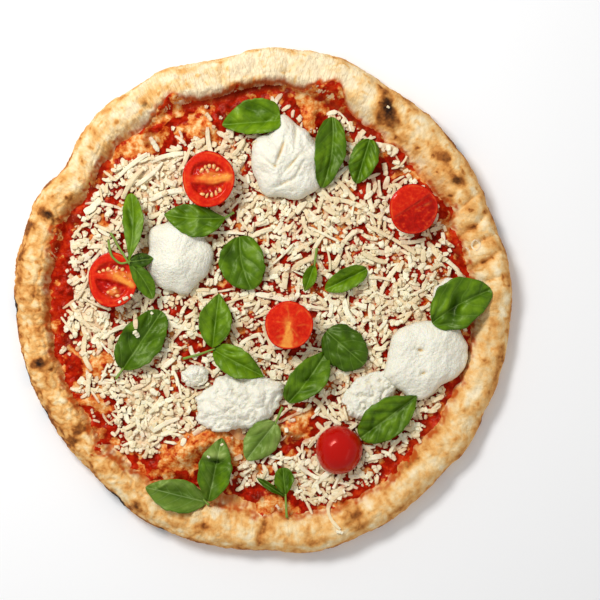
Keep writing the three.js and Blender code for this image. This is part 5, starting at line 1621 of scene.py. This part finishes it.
def makeLeaf(tree, softTree, leaf, junction, seed, top):
    stations = 0.5 - 0.5 * np.cos(np.linspace(0, np.pi, leafRows))
    along, across = gridOf(stations, np.linspace(-1, 1, leafColumns))
    x, y, curl, side, length = leafSurface(leaf, along, across)
    z = curl + lieTerms(x, y, junction) @ laidDown(tree, leaf, junction)
    size, off = leaf["width"] / 20, np.abs(side)
    rib = (along * length - 0.9 * off - 0.05 / size * side ** 2) / (7.5 * size)
    rib += 0.22 * hills(x, y, 9, seed + 4)
    quilt = np.abs(np.sin(np.pi * rib)) ** 0.8 * smoothStep(off, 0.2, 2.5)
    quilt *= smoothStep(np.abs(across), 1.0, 0.7)
    dents = spotSum(x, y, leaf["dents"])
    z += 0.7 * size * leaf["crimp"] * quilt - 0.8 * bell(side) * smoothStep(along, 1.0, 0.8) - 1.15 * dents
    z += hillSum(x, y, (1.5 * size, 10 * size, seed), (0.5, 5, seed + 6), (0.1, 2, seed + 5))
    z += 1.1 * np.abs(across) ** 3 * hills(x, y, 6, seed + 1)
    z = np.where(z > top, top + 0.4 * (z - top), z)
    z = np.maximum(z, levelsUnder(softTree, x, y) + leafThickness + 0.25)
    upper = np.stack([x, y, z], 1)
    grid = np.arange(len(x)).reshape(leafRows, leafColumns)
    near, left, ahead, far = grid[:-1, :-1], grid[:-1, 1:], grid[1:, :-1], grid[1:, 1:]
    quads = np.stack([near, ahead, far, left], -1).reshape(-1, 4)
    border = np.concatenate([grid[:-1, 0], grid[-1, :-1], grid[:0:-1, -1], grid[0, :0:-1]])
    after, start = np.roll(border, -1), len(x)
    faces = quads.tolist() + (start + quads[:, ::-1]).tolist()
    faces += np.stack([start + border, start + after, after, border], 1).tolist()
    # painted shade darker in the dents, and painted light on the quilted bulges between the veins
    toneAndShade = leaf["bright"] + 0.14 * hills(x, y, 9, seed + 2) - 0.1 * dents
    toneAndShade += 0.1 * leaf["crimp"] * (quilt - 0.4)
    shown = smoothStep(leaf["under"] + 0.3 * hills(x, y, 7, seed + 3), 0.35, 0.65) * (leaf["under"] > 0)
    shown = np.clip(shown + spotSum(x, y, leaf["pales"]), 0, 1)
    masks = {"rib": rib, "aside": off, "bright": toneAndShade, "under": shown, "stalk": 0 * x}
    masks = {key: np.concatenate([value, value]) for key, value in masks.items()}
    masks["under"][start:] = 1
    return np.concatenate([upper, upper - [0, 0, leafThickness]]), faces, masks


def makeStem(tree, softTree, route):
    route = np.array(route, float)
    last = route[-1] - route[-2]
    route = np.vstack([route, route[-1] + 2.2 * last / np.linalg.norm(last)])  # on under the leaf
    distance = np.concatenate([[0], np.cumsum(np.linalg.norm(np.diff(route, axis=0), axis=1))])
    steps = max(5, int(distance[-1] / 1.2))
    places = np.linspace(0, distance[-1], steps)
    x, y = (smoothed(np.interp(places, distance, line), stemWeights) for line in route.T)
    z = levelsUnder(tree, x, y, np.nan)
    known = ~np.isnan(z)
    level = np.interp(places, places[known], z[known]) - 0.95
    z = smoothed(np.maximum(level, levelsUnder(softTree, x, y) + 0.4), stemWeights)
    line = np.stack([x, y, z], 1)
    side, upward = alongLines(line)
    across, up = polar(ringDegrees(stemSides)[:, None], 1)
    radius = stemRadius * np.linspace(1.1, 0.8, steps)[:, None, None]
    points = (line[:, None] + radius * (across * side[:, None] + up * upward[:, None])).reshape(-1, 3)
    quads, caps = tubeFaces(steps, stemSides)
    blank = np.zeros(len(points))
    masks = {"rib": blank + 0.5, "aside": blank + 5, "bright": blank, "under": blank, "stalk": blank + 1}
    return points, quads.tolist() + caps.tolist(), masks


def makeBasil():
    grounds = ("mozzarella", "crustBaked", "tomatoSauceLayer", "meltedCheese")
    beneath = {"": treeOfMade(*grounds), "tomato_2": treeOfMade("tomato_2Half", *grounds)}
    for order, (name, sprig) in enumerate(basil.items()):
        tree, softTree = treeOf([frame["nodes"][name]]), beneath[sprig.get("over", "")]
        top = min(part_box(name)[1].z / mm + 0.8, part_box("crust")[1].z / mm + 3)
        parts = [makeLeaf(tree, softTree, leaf, sprig.get("junction"), 101 + 7 * order + 3 * k, top)
                 for k, leaf in enumerate(sprig["leaves"])]
        parts += [makeStem(tree, softTree, route) for route in sprig.get("stems", [])]
        masks = {key: np.concatenate([part[2][key] for part in parts]) for key in parts[0][2]}
        makePiece(name + "Leaves", *joinBodies(parts), masks, leafMaterial, "basil", [name])


makeBasil()
makeGratedCheese()


studio = {
    "floor": srgb(250, 250, 250),
    "keyPower": 7.6,
    "keySize": 0.42,
    "keyPlace": (-0.42, 0.45, 0.8),
    "fillPower": 1.0,
    "fillSize": 1.0,
    "fillPlace": (0.9, -0.5, 1.0),
    "skyStrength": 0.47,
    "viewWidth": 360.0,  # of the floor that the frame takes in, level with the rim
    "viewLevel": 12.0,
    "viewHeight": 1500.0,
    "viewCentre": (22.5, 1.2),
}


def aimAt(thing, target):
    thing.rotation_euler = (Vector(target) - thing.location).to_track_quat("-Z", "Y").to_euler()


def makeStudio():
    bpy.ops.mesh.primitive_plane_add(size=4)
    floor = bpy.context.object
    floor.name = "studioFloor"
    floor.data.materials.append(newMaterial("paleFloor", Roughness=0.9, Base_Color=studio["floor"])[0])
    world = bpy.data.worlds.new("studio")
    world.use_nodes = True
    sky = world.node_tree.nodes["Background"].inputs
    sky["Color"].default_value = (1, 1, 1, 1)
    sky["Strength"].default_value = studio["skyStrength"]
    bpy.context.scene.world = world
    for name in ("key", "fill"):
        lamp = bpy.data.lights.new(name, "AREA")
        lamp.shape = "RECTANGLE"
        lamp.energy = studio[name + "Power"]
        lamp.size = studio[name + "Size"]
        lamp.size_y = 0.5 * lamp.size
        light = bpy.data.objects.new(name, lamp)
        light.location = studio[name + "Place"]
        bpy.context.scene.collection.objects.link(light)
        aimAt(light, (0, 0, 0))


def makeCamera():
    camera = bpy.data.objects.new("camera", bpy.data.cameras.new("camera"))
    x, y = np.array(studio["viewCentre"]) + shift[:2]
    camera.location = (x * mm, y * mm, (studio["viewLevel"] + studio["viewHeight"]) * mm)
    camera.data.sensor_width = 36
    camera.data.lens = 36 * studio["viewHeight"] / studio["viewWidth"]
    bpy.context.scene.collection.objects.link(camera)
    bpy.context.scene.camera = camera


makeStudio()
makeCamera()
bpy.context.scene.view_settings.view_transform = "Standard"
print("studio ready")
